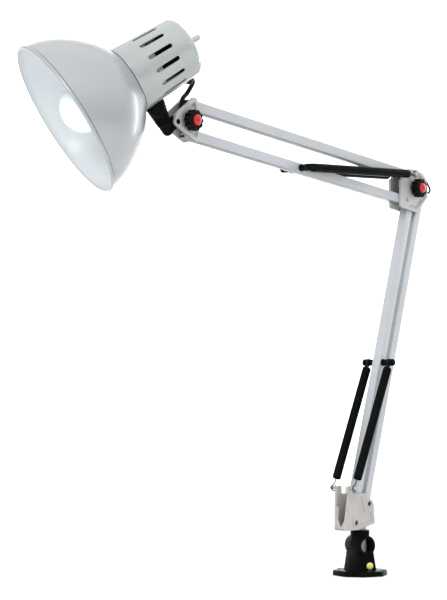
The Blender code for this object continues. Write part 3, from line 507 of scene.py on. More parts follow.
def base():
    """Moulded bracket: flange, tapered body, upright collar and cross socket."""
    origin = Vector()
    flange = turned("base_moulding", "black_plastic", origin, Z,
                    [(0, 0), (0, FLANGE_R), (FLANGE_T - 1 * MM, FLANGE_R), (FLANGE_T, FLANGE_R - 1.2 * MM),
                     (FLANGE_T, 0)], 8)
    flange.data.transform(Matrix.Rotation(math.pi / 8, 4, "Z"))
    body = turned("body", "black_plastic", Vector((0, 0, 3 * MM)), Z,
                  mm((0, 0), (0, 19), (4, 17), (16, 15.2), (30, 13.2), (30, 0)), 4)
    body.data.transform(Matrix.Rotation(math.pi / 4, 4, "Z"))
    upright = turned("upright", "black_plastic", Vector((0, 0, 4 * MM)), Z,
                     [(0, 0), (0, 10.6 * MM), (30 * MM, 9.4 * MM), (34.6 * MM, 9.2 * MM),
                      (34.8 * MM, 9.9 * MM),
                      (COLLAR_TOP - 4.8 * MM, 9.9 * MM), (COLLAR_TOP - 4 * MM, 9.1 * MM),
                      (COLLAR_TOP - 4 * MM, 0)], 48)
    cross = turned("cross", "black_plastic", Vector((0, -14.2 * MM, CROSS_Z)), Y,
                   mm((0, 0), (0, 9.7), (1, 10.5), (27.4, 10.5), (28.4, 9.7),
                    (28.4, 0)), 48)
    cut(flange, body, upright, cross, operation="UNION")
    tools = [rod("bore", "steel", Vector((0, 0, 6 * MM)), Vector((0, 0, 60 * MM)), BORE_R, 48),
             rod("cross_bore", "steel", Vector((0, -30 * MM, CROSS_Z)), Vector((0, 30 * MM, CROSS_Z)),
                 BORE_R + 0.2 * MM, 44),
             rod("screw_hole", "steel", Vector((3, -26.6, 10)) * MM, Vector((3, 0, 10)) * MM, 2.3 * MM, 24)]
    for k in range(4):
        turn = math.pi / 4 + k * math.pi / 2
        spot = Vector((math.cos(turn), math.sin(turn), 0)) * 22.6 * MM
        tools.append(turned("foot_hole", "steel", spot - Z * 5 * MM, Z,
                            mm((0, 0), (0, 2.1), (9, 2.1), (10.6, 3.8), (20, 3.8),
                             (20, 0)), 24))
    cut(flange, *tools)
    soften(flange, 0.45 * MM)
    flange.data.transform(Matrix.Rotation(BASE_TURN, 4, "Z"))
    place(flange, "base", "black_plastic", "base_bracket")


def set_screw():
    """Brass clamp screw with a nearly flat, slotted head."""
    profile = mm((0.7, 0), (0.8, 2), (1.1, 3.2), (1.6, 3.7), (2.4, 3.8),
               (3.2, 3.7), (3.2, 1.9), (9.6, 1.9), (9.6, 0))
    screw = turned("set_screw", "brass", SET_SCREW, SCREW_AXIS, profile, 40)
    side = SCREW_AXIS.cross(Z)
    low, high = ([SET_SCREW + SCREW_AXIS * depth + side * across * MM + Z * up * MM
                  for across, up in ((-5, -0.5), (5, -0.5), (5, 0.5), (-5, 0.5))]
                 for depth in (-1 * MM, 1.5 * MM))
    cut(screw, solid_between("slot", "brass", low, high))
    place(screw, "set_screw", "brass", "brass_set_screw")


def plan(half, nose_x, corner):
    """An upright block, |y| up to half, whose front at nose_x has rounded corners."""
    outline = [Vector((60 * MM, -half, 0)), Vector((60 * MM, half, 0))]
    for side in (1, -1):
        centre = Vector((nose_x + corner, side * (half - corner), 0))
        for step in range(11):
            turn = math.radians(90 * step / 10)
            across, ahead = (math.cos(turn), math.sin(turn)) if side > 0 else (math.sin(turn), math.cos(turn))
            outline.append(centre + Vector((-ahead, side * across, 0)) * corner)
    return solid_between("bend", "steel", outline, [p + Z * 120 * MM for p in outline])


def swivel_bracket():
    """Bent channel on a round shank, its round front cut back towards the top, with two horns for the springs."""
    corners = at(FRONT_PIVOT, [(-20, -7.3), (4, -7.3), (32, -2.2), (30, 20), (14, 30), (-7, 30), (-7, 38.2),
                               (-15, 38.2), (-17.6, 3)])
    radii = [3.5 * MM, 12 * MM, 2 * MM, 7 * MM, 5 * MM, 1.2 * MM, 2 * MM, 2.5 * MM, 12 * MM]
    channel = prism("swivel_channel", "beige_casting", round_corners(corners, radii), -PLATE_OUT, PLATE_OUT)
    front = FRONT_PIVOT.x - 20.2 * MM
    cut(channel, plan(PLATE_OUT + 0.1 * MM, front, 7.4 * MM), operation="INTERSECT")
    floor = at(FRONT_PIVOT, [(-60, -2), (-17.6, -2), (-14, -5.3), (4, -5.3), (60, 4.9), (60, 60), (-60, 60)])
    room = prism("room", "steel", floor, -20 * MM, 20 * MM)
    cut(room, plan(PLATE_IN, front + 2.6 * MM, 3 * MM), operation="INTERSECT")
    cut(channel, room)
    flange = at(FRONT_PIVOT, [(-19.3, -5), (-17.2, 3), (-16.2, 17), (-14.6, 17), (-15.4, 3), (-17.3, -5)])
    cut(channel, prism("flange", "beige_casting", flange, 2.8 * MM, 5.8 * MM), operation="UNION")
    notch = at(Vector((0, 0, FRONT_PIVOT.z)),
               [(-5.4, 40), (-5.4, 3), (-2.4, -4.6), (1.2, 3), (2.8, 10), (2.8, 40)])
    wedge = prism("notch", "steel", notch, 29 * MM, 45 * MM)
    wedge.data.transform(Matrix.Rotation(math.pi / 2, 4, "Z"))
    cut(channel, wedge)
    slant = at(FRONT_PIVOT, [(-26, -4.6), (-18.6, -4.6), (-12.2, 28), (-12.2, 31), (-26, 31)])
    cut(channel, prism("slant", "steel", slant, -9 * MM, -4.9 * MM))
    panel = at(FRONT_PIVOT, [(-9.5, -3.8), (4, -3.8), (27.8, 0.5), (26, 10), (14.5, 11.5), (10.5, 26.5),
                             (-9.5, 26.5)])
    for side in (-1, 1):
        low, high = sorted((side * (PLATE_OUT - 0.7 * MM), side * (PLATE_OUT + OVERCUT)))
        cut(channel, prism("pocket", "steel", round_corners(inset(panel, 0.5 * MM), [2 * MM] * 7), low, high))
    for side in (-1, 1):
        for spot, reach in ((FRONT_PIVOT, 4.8), (REAR_PIVOT, 4.6)):
            start, end = spot + Y * side * (PLATE_IN + 0.5 * MM), spot + Y * side * (PLATE_OUT + 0.4 * MM)
            cut(channel, rod("boss", "beige_casting", start, end, reach * MM, 40), operation="UNION")
    cut(channel, cross_cut(FRONT_PIVOT, RIVET_HOLE_R), cross_cut(REAR_PIVOT, RIVET_HOLE_R))
    soften(channel, 0.4 * MM)
    place(channel, "swivel", "beige_casting", "swivel_bracket")
    shank = rod("swivel_shank", "beige_casting", Vector((0, 0, 7 * MM)), Vector((0, 0, 50 * MM)), SHANK_R, 48,
                0.6 * MM)
    place(shank, "swivel", "beige_casting")
    for side, where in SIDES:
        start = LOWER_ANCHOR + Y * side * (PLATE_OUT - 0.5 * MM)
        peg = turned(f"spring_peg_{where}", "beige_casting", start, Y * side,
                     round_loop(mm((0, 0), (0, 1.7), (7.3, 1.7), (7.6, 2.5), (9.2, 2.3),
                                 (9.2, 0)), 0.3 * MM), 32)
        place(peg, "swivel", "beige_casting")


def eyelet(name, centre, body, node):
    """Tubular rivet with rolled ends, dark inside."""
    half = PLATE_OUT - 0.6 * MM
    profile = [(-half, 1.8 * MM), (-half, RIVET_R), (half, RIVET_R), (half, 1.8 * MM)]
    piece = turned(name, "rivet_brown", centre, Y, round_loop(profile, 0.3 * MM), 32)
    place(piece, body, "steel", node)


# Arms

def square_tube(name, start, end, body, node):
    """Folded square tube with rounded corners, open, with nosed ends."""
    along = (end - start).normalized()
    across = Vector((-along.z, 0, along.x))
    half = TUBE / 2
    corner = 1.1 * MM

    def section(size, radius):
        points = []
        for cx, cy, first in ((1, 1, 0), (-1, 1, 90), (-1, -1, 180), (1, -1, 270)):
            for step in range(5):
                turn = math.radians(first + 90 * step / 4)
                points.append((cx * (size - radius) + radius * math.cos(turn),
                               cy * (size - radius) + radius * math.sin(turn)))
        return points

    bm = bmesh.new()
    shells = []
    for points in (section(half, corner), section(half - TUBE_WALL, corner - 0.6 * MM)):
        rings = []
        for origin, sense in ((start, -1), (end, 1)):
            rings.append([bm.verts.new(origin + across * u + Y * v
                                       + along * sense * math.sqrt(max(half * half - u * u, 0)))
                          for u, v in points])
        shells.append(rings)
    for low, high in shells + list(zip(*shells)):
        bridge(bm, low, high)
    piece = make(bm, name, "silver_tube")
    place(piece, body, "silver_tube", node)


def cross_pin(name, centre, body, node):
    """Black pin with a ribbed roller and a cap at each end."""
    inner = TUBE / 2 + 0.3 * MM
    radius, end = 3.7 * MM, 19.6 * MM
    groove_in, groove_out = SPRING_Y - 1.2 * MM, SPRING_Y + 1.2 * MM
    half = [(0, PIN_R), (inner, PIN_R), (inner, radius), (inner + 1.6 * MM, radius),
            (inner + 2 * MM, radius - 0.5 * MM),
            (groove_in - 1.6 * MM, radius - 0.5 * MM), (groove_in - 1.2 * MM, radius), (groove_in, radius),
            (groove_in, 2.2 * MM), (groove_out, 2.2 * MM), (groove_out, radius), (end - 0.8 * MM, radius),
            (end, radius - 0.8 * MM), (end, 0)]
    profile = [(-a, r) for a, r in reversed(half[1:])] + half[1:]
    piece = turned(name, "black_plastic", centre, Y, round_loop(profile, 0.25 * MM, 2), 40)
    place(piece, body, "black_plastic", node)


def helix(start, along, length, radius, pitch, per_turn=10):
    side, other = frame_on(along)
    turns = length / pitch
    points = []
    for k in range(int(turns * per_turn) + 1):
        turn = 2 * math.pi * k / per_turn
        points.append(start + along * pitch * k / per_turn + around(side, other, turn) * radius)
    return points


def hook(centre, along, radius, reach, lean=0.0):
    """A loop of wire round a pin that runs out along the spring, lean to one side of its middle."""
    points = []
    across = along.cross(Y)
    steps = 20
    for k in range(steps + 1):
        turn = math.radians(-160 + 320 * k / steps)
        points.append(centre - along * radius * math.cos(turn) + across * radius * math.sin(turn))
    last = points[-1]
    knee = centre + along * reach * 0.35 + across * lean
    end = centre + along * reach + across * lean
    return points + [last.lerp(knee, k / 3) for k in (1, 2, 3)] + [knee.lerp(end, k / 4) for k in (1, 2, 3,
                                                                                                   4)]


def spring(prefix, pin, anchor, sleeve_from, sleeve_to, side, bodies, lean=0.0):
    """Sleeve, coil and hooks of one balance spring. The tail may lean, to clear the sleeve as the arm moves."""
    where = "near" if side < 0 else "far"
    shift = Y * SPRING_Y * side
    along = (anchor - pin).normalized()
    reach = (anchor - pin).length
    top, low = pin + shift, anchor + shift
    length = sleeve_to - sleeve_from
    lip = 0.35 * MM
    profile = [(0, SLEEVE_BORE), (0, SLEEVE_R - lip), (2 * MM, SLEEVE_R), (length - 2 * MM, SLEEVE_R),
               (length, SLEEVE_R - lip), (length, SLEEVE_BORE + lip), (length - 26 * MM, SLEEVE_BORE + lip),
               (length - 28 * MM, SLEEVE_BORE)]
    sleeve = turned(f"{prefix}_sleeve_tube_{where}", "black_plastic", top + along * sleeve_from, along,
                    round_loop(profile, 0.4 * MM), 40)
    place(sleeve, bodies[0], "black_plastic", f"{prefix}_sleeve_{where}")
    pitch = 2 * WIRE_R * 1.12
    coil_from = sleeve_from - 1.5 * MM
    coil = sweep(f"{prefix}_coil_{where}", "spring_steel",
                 helix(top + along * coil_from, along, length * 0.62, COIL_R - WIRE_R, pitch), WIRE_R, 6)
    place(coil, bodies[0], "spring_steel", f"{prefix}_spring_{where}")
    eye = sweep(f"{prefix}_coil_hook_{where}", "spring_steel",
                hook(top, along, HOOK_LOOP_R, coil_from + 2 * MM), HOOK_R, 10)
    place(eye, bodies[0], "spring_steel")
    tail = sweep(f"{prefix}_tail_{where}", "spring_steel",
                 hook(low, -along, HOOK_LOOP_R, reach - sleeve_to + 20 * MM, lean), WIRE_R, 10)
    place(tail, bodies[1], "spring_steel", f"{prefix}_spring_tail_{where}")


# Brackets

def casting(name, outline, rim, step, radii, side, holes, body, node, bosses=()):
    """One cheek of a bracket: a plate with a raised rim, a panel sunk in two steps, and bosses."""
    y_in, y_out = side * PLATE_IN, side * PLATE_OUT
    plate = prism(name, "grey_casting", outline, min(y_in, y_out), max(y_in, y_out))
    for tool, edge, depth in (("pocket", rim, 0.9 * MM), ("step", inset(rim, step), 1.5 * MM)):
        low, high = sorted((side * (PLATE_OUT - depth), side * (PLATE_OUT + OVERCUT)))
        cut(plate, prism(tool, "steel", round_corners(edge, radii), low, high))
    for centre, radius in bosses:
        start, end = centre + Y * side * (PLATE_IN + 0.5 * MM), centre + Y * side * (PLATE_OUT - 0.25 * MM)
        cut(plate, rod("boss", "grey_casting", start, end, radius, 40), operation="UNION")
    cut(plate, *[cross_cut(centre, radius) for centre, radius in holes])
    plate.data.materials.append(FINISH["beige_casting"])
    for face in plate.data.polygons:
        if face.normal.y * side < -0.9:
            face.material_index = 1
    soften(plate, 0.4 * MM)
    place(plate, body, "grey_casting", node)


def elbow_plates():
    reference = ELBOW_FRONT + UP_LOWER * 6 * MM
    corners = at(reference, [(-23, -7.5), (5.5, -11.5), (26, 5.5), (24, 26.5), (7, 35), (-9, 34.8),
                             (-23, 22)])
    outline = round_corners(corners, [3 * MM] * 7)
    rim = inset(corners, 3 * MM)
    for side, where in SIDES:
        casting(f"elbow_cheek_{where}", outline, rim, 1.8 * MM, [2.5 * MM] * 7, side,
                ((ELBOW_TOP, HOLE_R), (ELBOW_BOLT, BOLT_HOLE_R)), "elbow", f"elbow_plate_{where}",
                ((ELBOW_TOP, 4.4 * MM),))


def head_plates():
    corners = at(NOSE, [(-11.5, 0.5), (22.5, 25.5), (27.5, 24), (31, -15.2), (26, -16.6)])
    outline = round_corners(corners, [8.2 * MM, 2.5 * MM, 2 * MM, 2.5 * MM, 2 * MM], 8)
    rim = at(NOSE, [(-4.2, 1), (21.8, 20.6), (25.1, 19.4), (27.6, -11.4), (24, -12.6)])
    for side, where in SIDES:
        casting(f"head_cheek_{where}", outline, rim, 1.1 * MM, [5.5 * MM] + [1.5 * MM] * 4, side,
                ((NOSE, HOLE_R), (HEAD_BOLT, BOLT_HOLE_R)), "head_bracket", f"head_plate_{where}",
                ((NOSE, 4.6 * MM),))


def knob(prefix, centre, body, nodes):
    """Fluted clamp knob with a domed red cap, on a bolt with a hexagonal head."""
    seat = PLATE_OUT + 0.3 * MM
    thick = 9.5 * MM
    flutes = 10

    def fluted(turn, _, radius):
        wave = 0.5 + 0.5 * math.cos(flutes * turn)
        depth = 1.7 * MM if radius > 7 * MM else 0
        return radius - depth * (1 - wave) ** 1.6

    profile = [(0, 2.2 * MM), (0, 8.6 * MM), (0.9 * MM, 10.2 * MM), (thick - 1.6 * MM, 10.2 * MM),
               (thick, 8.6 * MM),
               (thick, 6 * MM), (thick - 2.6 * MM, 5.8 * MM), (thick - 2.6 * MM, 2.2 * MM)]
    grip = turned(f"{prefix}_grip", "knob_black", centre - Y * seat, -Y, round_loop(profile, 0.5 * MM), 120,
                  fluted)
    place(grip, body, "knob_black", nodes[0])
    dome = mm((0, 0), (0, 5.2), (2.1, 5.4))
    for k in range(1, 9):
        turn = math.pi / 2 * k / 8
        dome.append((2.1 * MM + 2.1 * MM * math.sin(turn), 5.4 * MM * math.cos(turn)))
    cap = turned(f"{prefix}_grip_cap", "red_cap", centre - Y * (seat + thick - 2.1 * MM), -Y, dome, 48)
    place(cap, body, "red_cap", nodes[1])
    far = centre + Y * (seat + 3.4 * MM)
    shank = rod(f"{prefix}_bolt_shank", "steel", centre - Y * (seat + thick - 2.9 * MM), centre + Y * seat,
                2 * MM, 32)
    place(shank, body, "steel", nodes[2])
    head = turned(f"{prefix}_bolt_head", "steel", centre + Y * seat, far - centre,
                  round_loop(mm((0, 0), (0, 4.6), (2.6, 4.6), (3.3, 3.6), (3.3, 0)), 0.2 * MM),
                  6)
    place(head, body, "steel")


# Head

def lever_line(height):
    return LEVER_FOOT + LEVER_UP * height


def head_lever():
    """Moulded lever from the nose pin to the cap, ribbed round its foot."""
    foot = lever_line(-8 * MM)
    top = LEVER_REACH - CAP_FRONT_R + 8 * MM
    profile = mm((0, 0), (0.4, 2.6), (1.8, 4.4), (4, 5.2), (11, 6))
    for k in range(5):
        start = (12 + 2.1 * k) * MM
        swell = (6.2 + 0.35 * k) * MM
        profile += [(start, swell), (start + 0.5 * MM, swell + 0.55 * MM),
                    (start + 1.2 * MM, swell + 0.55 * MM),
                    (start + 1.7 * MM, swell + 0.1 * MM)]
    profile += [(23 * MM, 8.3 * MM), (top - 2 * MM, 9.8 * MM), (top - 0.8 * MM, 9.7 * MM),
                (top - 0.8 * MM, 0)]
    lever = turned("lever_moulding", "black_plastic", foot, LEVER_UP, profile, 48)
    eye = rod("eye", "black_plastic", NOSE - Y * 5 * MM, NOSE + Y * 5 * MM, 6 * MM, 48)
    block = []
    for back, up in ((-LEVER_AHEAD, -5.5 * MM), (1 * MM, -5.9 * MM), (1 * MM, 5.9 * MM),
                     (-LEVER_AHEAD, 9 * MM)):
        block.append(NOSE + LEVER_BACK * back + LEVER_UP * up)
    cut(lever, eye, prism("block", "black_plastic", block, -4.9 * MM, 4.9 * MM), operation="UNION")
    for side in (-1, 1):
        cut(lever, rod("slot", "steel", NOSE + Y * side * 5 * MM, NOSE + Y * side * 14 * MM, 10.2 * MM, 48))
    cut(lever, cross_cut(NOSE, HOLE_R))
    soften(lever, 0.25 * MM)
    place(lever, "lever", "black_plastic", "head_lever")
    pin = turned("nose_rivet", "black_plastic", NOSE - Y * (PLATE_OUT + 0.8 * MM), Y,
                 round_loop([(0, 0), (0, 2.3 * MM), (0.9 * MM, 2.6 * MM), (0.9 * MM, PIN_R),
                             (2 * PLATE_OUT + 0.7 * MM, PIN_R), (2 * PLATE_OUT + 0.7 * MM, 2.6 * MM),
                             (2 * PLATE_OUT + 1.6 * MM, 2.3 * MM), (2 * PLATE_OUT + 1.6 * MM, 0)], 0.2 * MM),
                 32)
    place(pin, "head_bracket", "black_plastic", "nose_pin")


def cap_radius(distance):
    share = (distance - SHADE_DEPTH) / (CAP_REAR - CAP_CORNER - SHADE_DEPTH)
    return CAP_FRONT_R + (CAP_REAR_R - CAP_FRONT_R) * share


def along_head(distance):
    return MOUTH + HEAD_AXIS * distance


def cap():
    """Vented cap. Each slot is set in its own panel, so that its ends are true half circles."""
    side, other = frame_on(HEAD_AXIS)
    per_slot, along_steps, rings_in = 8, 14, 3
    pitch = 2 * math.pi / SLOTS
    half = SLOT_W / 2
    panel_from, panel_to = SLOT_FROM - 4 * MM, SLOT_TO + 4 * MM
    bm = bmesh.new()

    def point(turn, distance, radius):
        return along_head(distance) + around(side, other, turn) * radius

    def ring(distance, radius):
        return [bm.verts.new(point(2 * math.pi * k / (SLOTS * per_slot), distance, radius))
                for k in range(SLOTS * per_slot)]

    front = [ring(d, cap_radius(d)) for d in (SHADE_DEPTH + 0.9 * MM, SHADE_DEPTH + 6 * MM,
                                              SHADE_DEPTH + 12 * MM,
                                              panel_from)]
    corner_from = CAP_REAR - CAP_CORNER
    rear = [ring(d, cap_radius(d)) for d in (panel_to, (panel_to + corner_from) / 2, corner_from)]
    for step in range(1, 9):
        turn = math.pi / 2 * step / 8
        rear.append(ring(corner_from + CAP_CORNER * math.sin(turn),
                         CAP_REAR_R - CAP_CORNER * (1 - math.cos(turn))))
    for radius in (17 * MM, 12 * MM, 8 * MM, 4.2 * MM):
        rear.append(ring(CAP_REAR + (0.25 * MM if radius < 10 * MM else 0), radius))
    for rings in (front, rear):
        for here, there in zip(rings, rings[1:]):
            bridge(bm, here, there)

    seams = []
    for slot in range(SLOTS):
        seams.append([front[-1][slot * per_slot]]
                     + [bm.verts.new(point(slot * pitch,
                                           panel_from + (panel_to - panel_from) * k / along_steps,
                                           cap_radius(panel_from + (panel_to - panel_from) * k / along_steps)))
                        for k in range(1, along_steps)]
                     + [rear[0][slot * per_slot]])
    for slot in range(SLOTS):
        left, right = seams[slot], seams[(slot + 1) % SLOTS]
        top = [rear[0][(slot * per_slot + k) % (SLOTS * per_slot)] for k in range(1, per_slot)]
        low = [front[-1][(slot * per_slot + k) % (SLOTS * per_slot)] for k in range(1, per_slot)]
        border = left + top + right[::-1] + low[::-1]
        middle = (slot + 0.5) * pitch
        hole = []
        for k in range(along_steps + 1):
            hole.append((-half, SLOT_FROM + half + (SLOT_TO - SLOT_FROM - SLOT_W) * k / along_steps))
        for k in range(1, per_slot):
            turn = math.pi * k / per_slot
            hole.append((-half * math.cos(turn), SLOT_TO - half + half * math.sin(turn)))
        hole += [(half, distance) for _, distance in hole[along_steps::-1]]
        for k in range(1, per_slot):
            turn = math.pi * k / per_slot
            hole.append((half * math.cos(turn), SLOT_FROM + half - half * math.sin(turn)))
        hole_points = [point(middle + across / cap_radius(d), d, cap_radius(d)) for across, d in hole]
        previous = border
        for step in range(1, rings_in + 1):
            share = (0.5, 0.88, 1)[step - 1]
            current = []
            for vert, target in zip(border, hole_points):
                mixed = vert.co.lerp(target, share)
                depth = (mixed - MOUTH).dot(HEAD_AXIS)
                middle_line = along_head(depth)
                current.append(bm.verts.new(middle_line + (mixed - middle_line).normalized() * cap_radius(depth)))
            bridge(bm, previous, current)
            previous = current
    shell = make(bm, "cap_shell", "silver_cap")
    thick = shell.modifiers.new("Solidify", "SOLIDIFY")
    thick.thickness = CAP_WALL
    thick.offset = -1
    settle(shell)
    leave = lead_exit()
    cut(shell, rod("lead_hole", "steel", leave + LEVER_UP * 12 * MM, leave - LEVER_UP * 6 * MM, 3.3 * MM, 32))
    soften(shell, 0.3 * MM, 2, 55)
    place(shell, "head", "silver_cap", "cap_housing")
    # A black ring seen through the gap between shade and cap: painted shade, so that the seam shows as a dark
    # line.
    seam = pipe("cap_seam_shade_ring", "black_plastic", along_head(SHADE_DEPTH - 4.5 * MM),
                along_head(SHADE_DEPTH + 1 * MM),
                CAP_FRONT_R - 1.4 * MM, CAP_FRONT_R - 2.6 * MM, 96)
    place(seam, "head", "black_plastic")


def shade_radius(distance):
    return MOUTH_R * (1 - (distance / (80 * MM)) ** 1.8) ** 0.58


def shade():
    """Spun bell with a rolled rim and a small step where the cap seats, white inside."""
    steps = 44
    bead = 1.7 * MM
    rim = arc((bead, MOUTH_R - 0.4 * MM), bead, 235, 12,
              14) + [(bead * 2.1, shade_radius(3.6 * MM) - 0.7 * MM)]
    outer, inner = [], []
    for k in range(steps + 1):
        distance = 4 * MM + (SHADE_DEPTH - 4 * MM) * (k / steps) ** 0.9
        outer.append((distance, shade_radius(distance)))
        inner.append((distance - 0.35 * MM, shade_radius(distance) - SHADE_WALL))
    outer[-1] = (SHADE_DEPTH, CAP_FRONT_R + 0.3 * MM)
    inner[-1] = (SHADE_DEPTH, CAP_FRONT_R - 0.9 * MM)
    profile = rim + outer + inner[::-1]
    bell = turned("shade_bell", "silver_shade", MOUTH, HEAD_AXIS, profile, 160, None, "shade_white",
                  len(rim) + len(outer))
    place(bell, "head", "silver_shade", "shade")


def lead_exit():
    at_cap = 122 * MM
    return along_head(at_cap) - LEVER_UP * cap_radius(at_cap)


def socket():
    """Lamp holder seen through the slots: black shell, pale ring, nut and switch stem."""
    shell = turned("socket_body", "black_plastic", along_head(101.3 * MM), HEAD_AXIS,
                   round_loop(mm((0, 14), (0, 19.5), (8, 19.4), (8.5, 18.9),
                               (9.5, 18.9), (10, 19.3), (20, 19), (26, 12),
                               (34, 12), (34, 3.2), (14, 3.2), (14, 14)),
                              0.5 * MM), 64)
    place(shell, "head", "black_plastic", "socket_shell")
    ring = pipe("socket_skirt", "porcelain", along_head(80 * MM), along_head(101 * MM), 19.5 * MM, 14 * MM,
                64, 0.8 * MM)
    place(ring, "head", "porcelain", "socket_ring")
    nut = turned("switch_nut", "steel", along_head(CAP_REAR + 0.35 * MM), HEAD_AXIS,
                 round_loop(mm((0, 3.5), (0, 6), (1.9, 6), (1.9, 3.5)), 0.3 * MM), 6)
    place(nut, "head", "steel", "socket_nut")

    def splined(turn, along, radius):
        return radius - (0.12 * MM if along > 26 * MM and radius > 2.5 * MM else 0) * (1 - math.cos(12 * turn))

    stem = turned("switch_shaft", "switch_white", along_head(116.5 * MM), HEAD_AXIS,
                  round_loop(mm((0, 0), (0, 2.6), (25.5, 2.6), (26.5, 2.9),
                              (34.6, 2.9), (36, 1.8), (36, 0)), 0.4 * MM), 96, splined)
    place(stem, "switch", "switch_white", "switch_stem")


def bulb():
    """Frosted bulb: a round globe that runs into a long neck."""
    profile = []
    for k in range(0, 27):
        turn = math.radians(k * 130 / 26)
        profile.append((BULB_CENTRE - BULB_R * math.cos(turn), BULB_R * math.sin(turn)))
    last = profile[-1]
    for k in range(1, 13):
        share = k / 12
        distance = last[0] + (76 * MM - last[0]) * share
        profile.append((distance, 12.9 * MM + (last[1] - 12.9 * MM) * (1 - share) ** 2.0))
    profile.append((76 * MM, 12 * MM))
    glass = turned("bulb_globe", "bulb_glass", MOUTH, HEAD_AXIS, profile + [(30 * MM, 0)], 72)
    place(glass, "bulb", "bulb_glass", "bulb")


# Leads

def grommet():
    leave = lead_exit()
    profile = round_loop(mm((0, 2.3), (0, 4.4), (1.2, 4.2), (1.6, 3.1), (2.6, 2.8),
                          (2.6, 2.3)), 0.3 * MM)
    piece = turned("strain_collar", "lead_rubber", leave - LEVER_UP * 0.2 * MM, -LEVER_UP, profile, 32)
    place(piece, "head", "lead_rubber", "lead_grommet")


def bend_between(piece, body_a, body_b, start, end, slot, *nodes):
    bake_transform(piece)
    if nodes:
        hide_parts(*nodes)


def head_lead():
    """The lead from the cap to the head bracket, in two stretches."""
    leave = lead_exit()
    points = [leave + LEVER_UP * 4 * MM, leave - LEVER_UP * 1 * MM,
              leave - LEVER_UP * 4 * MM + HEAD_AXIS * 2.5 * MM]
    for x, y, z in ((-12.2, -15.5, 22.5), (-4.3, -10.5, 19.8), (-1, -3.5, 14.6), (-1.5, 0, 10.2),
                    (-7, 0, 5.2),
                    (-8.6, 0, -1), (-8.6, 0, -8)):
        points.append(HEAD_TOP + Vector((x, y, z)) * MM)
    route = smooth_route(points, 8)
    middle = len(route) // 2
    first = sweep("head_lead_upper", "lead_rubber", route[:middle + 1], LEAD_R, 20)
    second = sweep("head_lead_lower", "lead_rubber", route[middle:], LEAD_R, 20)
    bend_between(first, "head", "lever", route[6], route[middle], "lead_rubber", "head_lead")
    bend_between(second, "lever", "head_bracket", route[middle], route[-8], "lead_rubber")


def elbow_lead():
    """The thin lead's loop round the elbow, in two stretches."""
    raise_by = Vector((-TO_HEAD.z, 0, TO_HEAD.x)) * -3 * MM
    start = ELBOW_TOP - TO_HEAD * 5.5 * MM + raise_by
    back = Vector((UP_LOWER.z, 0, -UP_LOWER.x))
    end = ELBOW_REAR + back * 8 * MM
    points = [start, ELBOW_REAR + Vector((-13, -2, 21)) * MM]
    for x, z in ((-1.5, 19), (6.6, 13.4), (11.2, 8.4), (15.4, 3.4), (14.6, 0.2), (10.5, -1.7)):
        points.append(ELBOW_REAR + Vector((x, -4, z)) * MM)
    points += [end + back * 2 * MM - Y * 2 * MM, end - back * 4 * MM]
    route = smooth_route(points, 8)
    middle = len(route) // 2
    first = sweep("elbow_loop_upper", "lead_rubber", route[:middle + 1], THIN_LEAD_R, 14)
    second = sweep("elbow_loop_lower", "lead_rubber", route[middle:], THIN_LEAD_R, 14)
    bend_between(first, "top_tube", "elbow", route[0], route[middle // 2], "lead_rubber", "elbow_lead")
    bend_between(second, "elbow", "rear_tube", route[middle + 4], route[-1], "lead_rubber")


# Scene

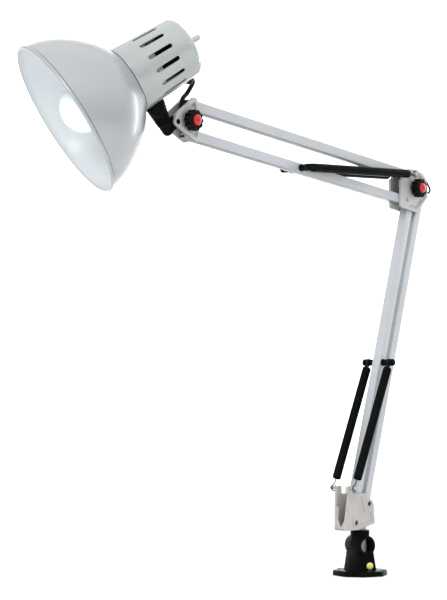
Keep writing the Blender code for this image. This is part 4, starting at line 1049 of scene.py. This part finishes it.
def studio():
    """Pale floor that curves up into a backdrop, soft lights and the camera."""
    bm = bmesh.new()
    rows = [(-16.0, 0.0)] + [(3.0 + 1.5 * math.sin(math.radians(a)), 1.5 - 1.5 * math.cos(math.radians(a)))
                            for a in range(0, 91, 6)] + [(4.5, 6.0)]
    verts = []
    for far, up in rows:
        verts.append([bm.verts.new((far, side, up)) for side in (-16, 16)])
    for here, there in zip(verts, verts[1:]):
        bm.faces.new((here[0], here[1], there[1], there[0]))
    mesh = bpy.data.meshes.new("floor")
    bm.to_mesh(mesh)
    bm.free()
    mesh.shade_smooth()
    floor = bpy.data.objects.new("floor", mesh)
    floor.rotation_euler.z = math.radians(40)
    bpy.context.scene.collection.objects.link(floor)
    paper = Nodes("paper")
    tone = paper.mix(paper.spread(paper.noise(2.0, 2), 0, 1), (0.9, 0.9, 0.9), (0.94, 0.94, 0.94))
    paper.link(tone, paper.shader.inputs["Base Color"])
    paper.shader.inputs["Roughness"].default_value = 0.8
    mesh.materials.append(paper.material)

    world = bpy.data.worlds.new("studio")
    world.use_nodes = True
    sky = world.node_tree
    up = sky.nodes.new("ShaderNodeSeparateXYZ")
    sky.links.new(sky.nodes.new("ShaderNodeTexCoord").outputs["Generated"], up.inputs[0])
    lift = sky.nodes.new("ShaderNodeMapRange")
    for socket, value in (("From Min", -0.1), ("From Max", 0.65), ("To Min", 0.42), ("To Max", 1.35)):
        lift.inputs[socket].default_value = value
    sky.links.new(up.outputs["Z"], lift.inputs["Value"])
    sky.links.new(lift.outputs["Result"], sky.nodes["Background"].inputs["Strength"])
    sky.nodes["Background"].inputs["Color"].default_value = (1, 1, 1, 1)
    bpy.context.scene.world = world
    bpy.context.scene.view_settings.view_transform = "Standard"

    def area(name, spot, target, size, power):
        light = bpy.data.lights.new(name, "AREA")
        light.shape = "RECTANGLE"
        light.size, light.size_y = size
        light.energy = power
        obj = bpy.data.objects.new(name, light)
        obj.location = spot
        obj.rotation_euler = (Vector(target) - Vector(spot)).to_track_quat("-Z", "Y").to_euler()
        bpy.context.scene.collection.objects.link(obj)

    area("key", (-1.9, -0.6, 1.2), (-0.2, 0, 0.3), (0.6, 0.6), 9)
    area("strip", (1.1, -0.32, 0.66), (-0.33, 0, 0.45), (0.1, 0.7), 2.2)
    area("backdrop_glow", (1.6, 1.5, 2.0), (3.2, 2.8, 0.8), (2.5, 1.0), 90)

    camera = bpy.data.cameras.new("camera")
    camera.sensor_width = 36
    camera.lens = 120
    camera.clip_start, camera.clip_end = 0.05, 30
    eye = bpy.data.objects.new("camera", camera)
    bpy.context.scene.collection.objects.link(eye)
    sight = Vector((0.7584, 0.6507, 0.036)).normalized()
    target, distance = Vector((-0.2175, 0, 0.2794)), 1.92
    eye.location = target - sight * distance
    eye.rotation_euler = sight.to_track_quat("-Z", "Y").to_euler()
    bpy.context.scene.camera = eye


def repaint_nodes():
    """CAD nodes that stay take the finish of their slot."""
    slots = {part["node"]: part["material_slot"] for part in frame["record"]["subparts"]}
    for name, node in frame["nodes"].items():
        node.data.materials.clear()
        node.data.materials.append(FINISH[slots[name]])


def main():
    repaint_nodes()
    base()
    set_screw()
    swivel_bracket()
    square_tube("front_tube_square", FRONT_PIVOT, ELBOW_FRONT, "front_tube", "lower_front_tube")
    square_tube("rear_tube_square", REAR_PIVOT, ELBOW_REAR, "rear_tube", "lower_rear_tube")
    square_tube("top_tube_square", ELBOW_TOP, HEAD_TOP, "top_tube", "upper_top_tube")
    square_tube("bottom_tube_square", ELBOW_BOTTOM, HEAD_BOTTOM, "bottom_tube", "upper_bottom_tube")
    eyelet("front_eyelet", FRONT_PIVOT, "swivel", "lower_front_pin")
    eyelet("rear_eyelet", REAR_PIVOT, "swivel", "lower_rear_pin")
    cross_pin("lower_cross_pin", LOWER_SPRING_PIN, "front_tube", "lower_spring_pin")
    cross_pin("upper_cross_pin", UPPER_SPRING_PIN, "bottom_tube", "upper_spring_pin")
    for side in (-1, 1):
        spring("lower", LOWER_SPRING_PIN, LOWER_ANCHOR, 6.5 * MM, 132.3 * MM, side,
               ("lower_springs", "lower_tails"))
        spring("upper", UPPER_SPRING_PIN, UPPER_ANCHOR, 7 * MM, 173.4 * MM, side,
               ("upper_springs", "upper_tails"),
               -1.95 * MM)
    elbow_plates()
    head_plates()
    knob("elbow", ELBOW_BOLT, "elbow_clamp", ("elbow_knob", "elbow_knob_cap", "elbow_bolt"))
    knob("head", HEAD_BOLT, "head_clamp", ("head_knob", "head_knob_cap", "head_bolt"))
    head_lever()
    cap()
    shade()
    socket()
    bulb()
    grommet()
    head_lead()
    elbow_lead()
    studio()


main()
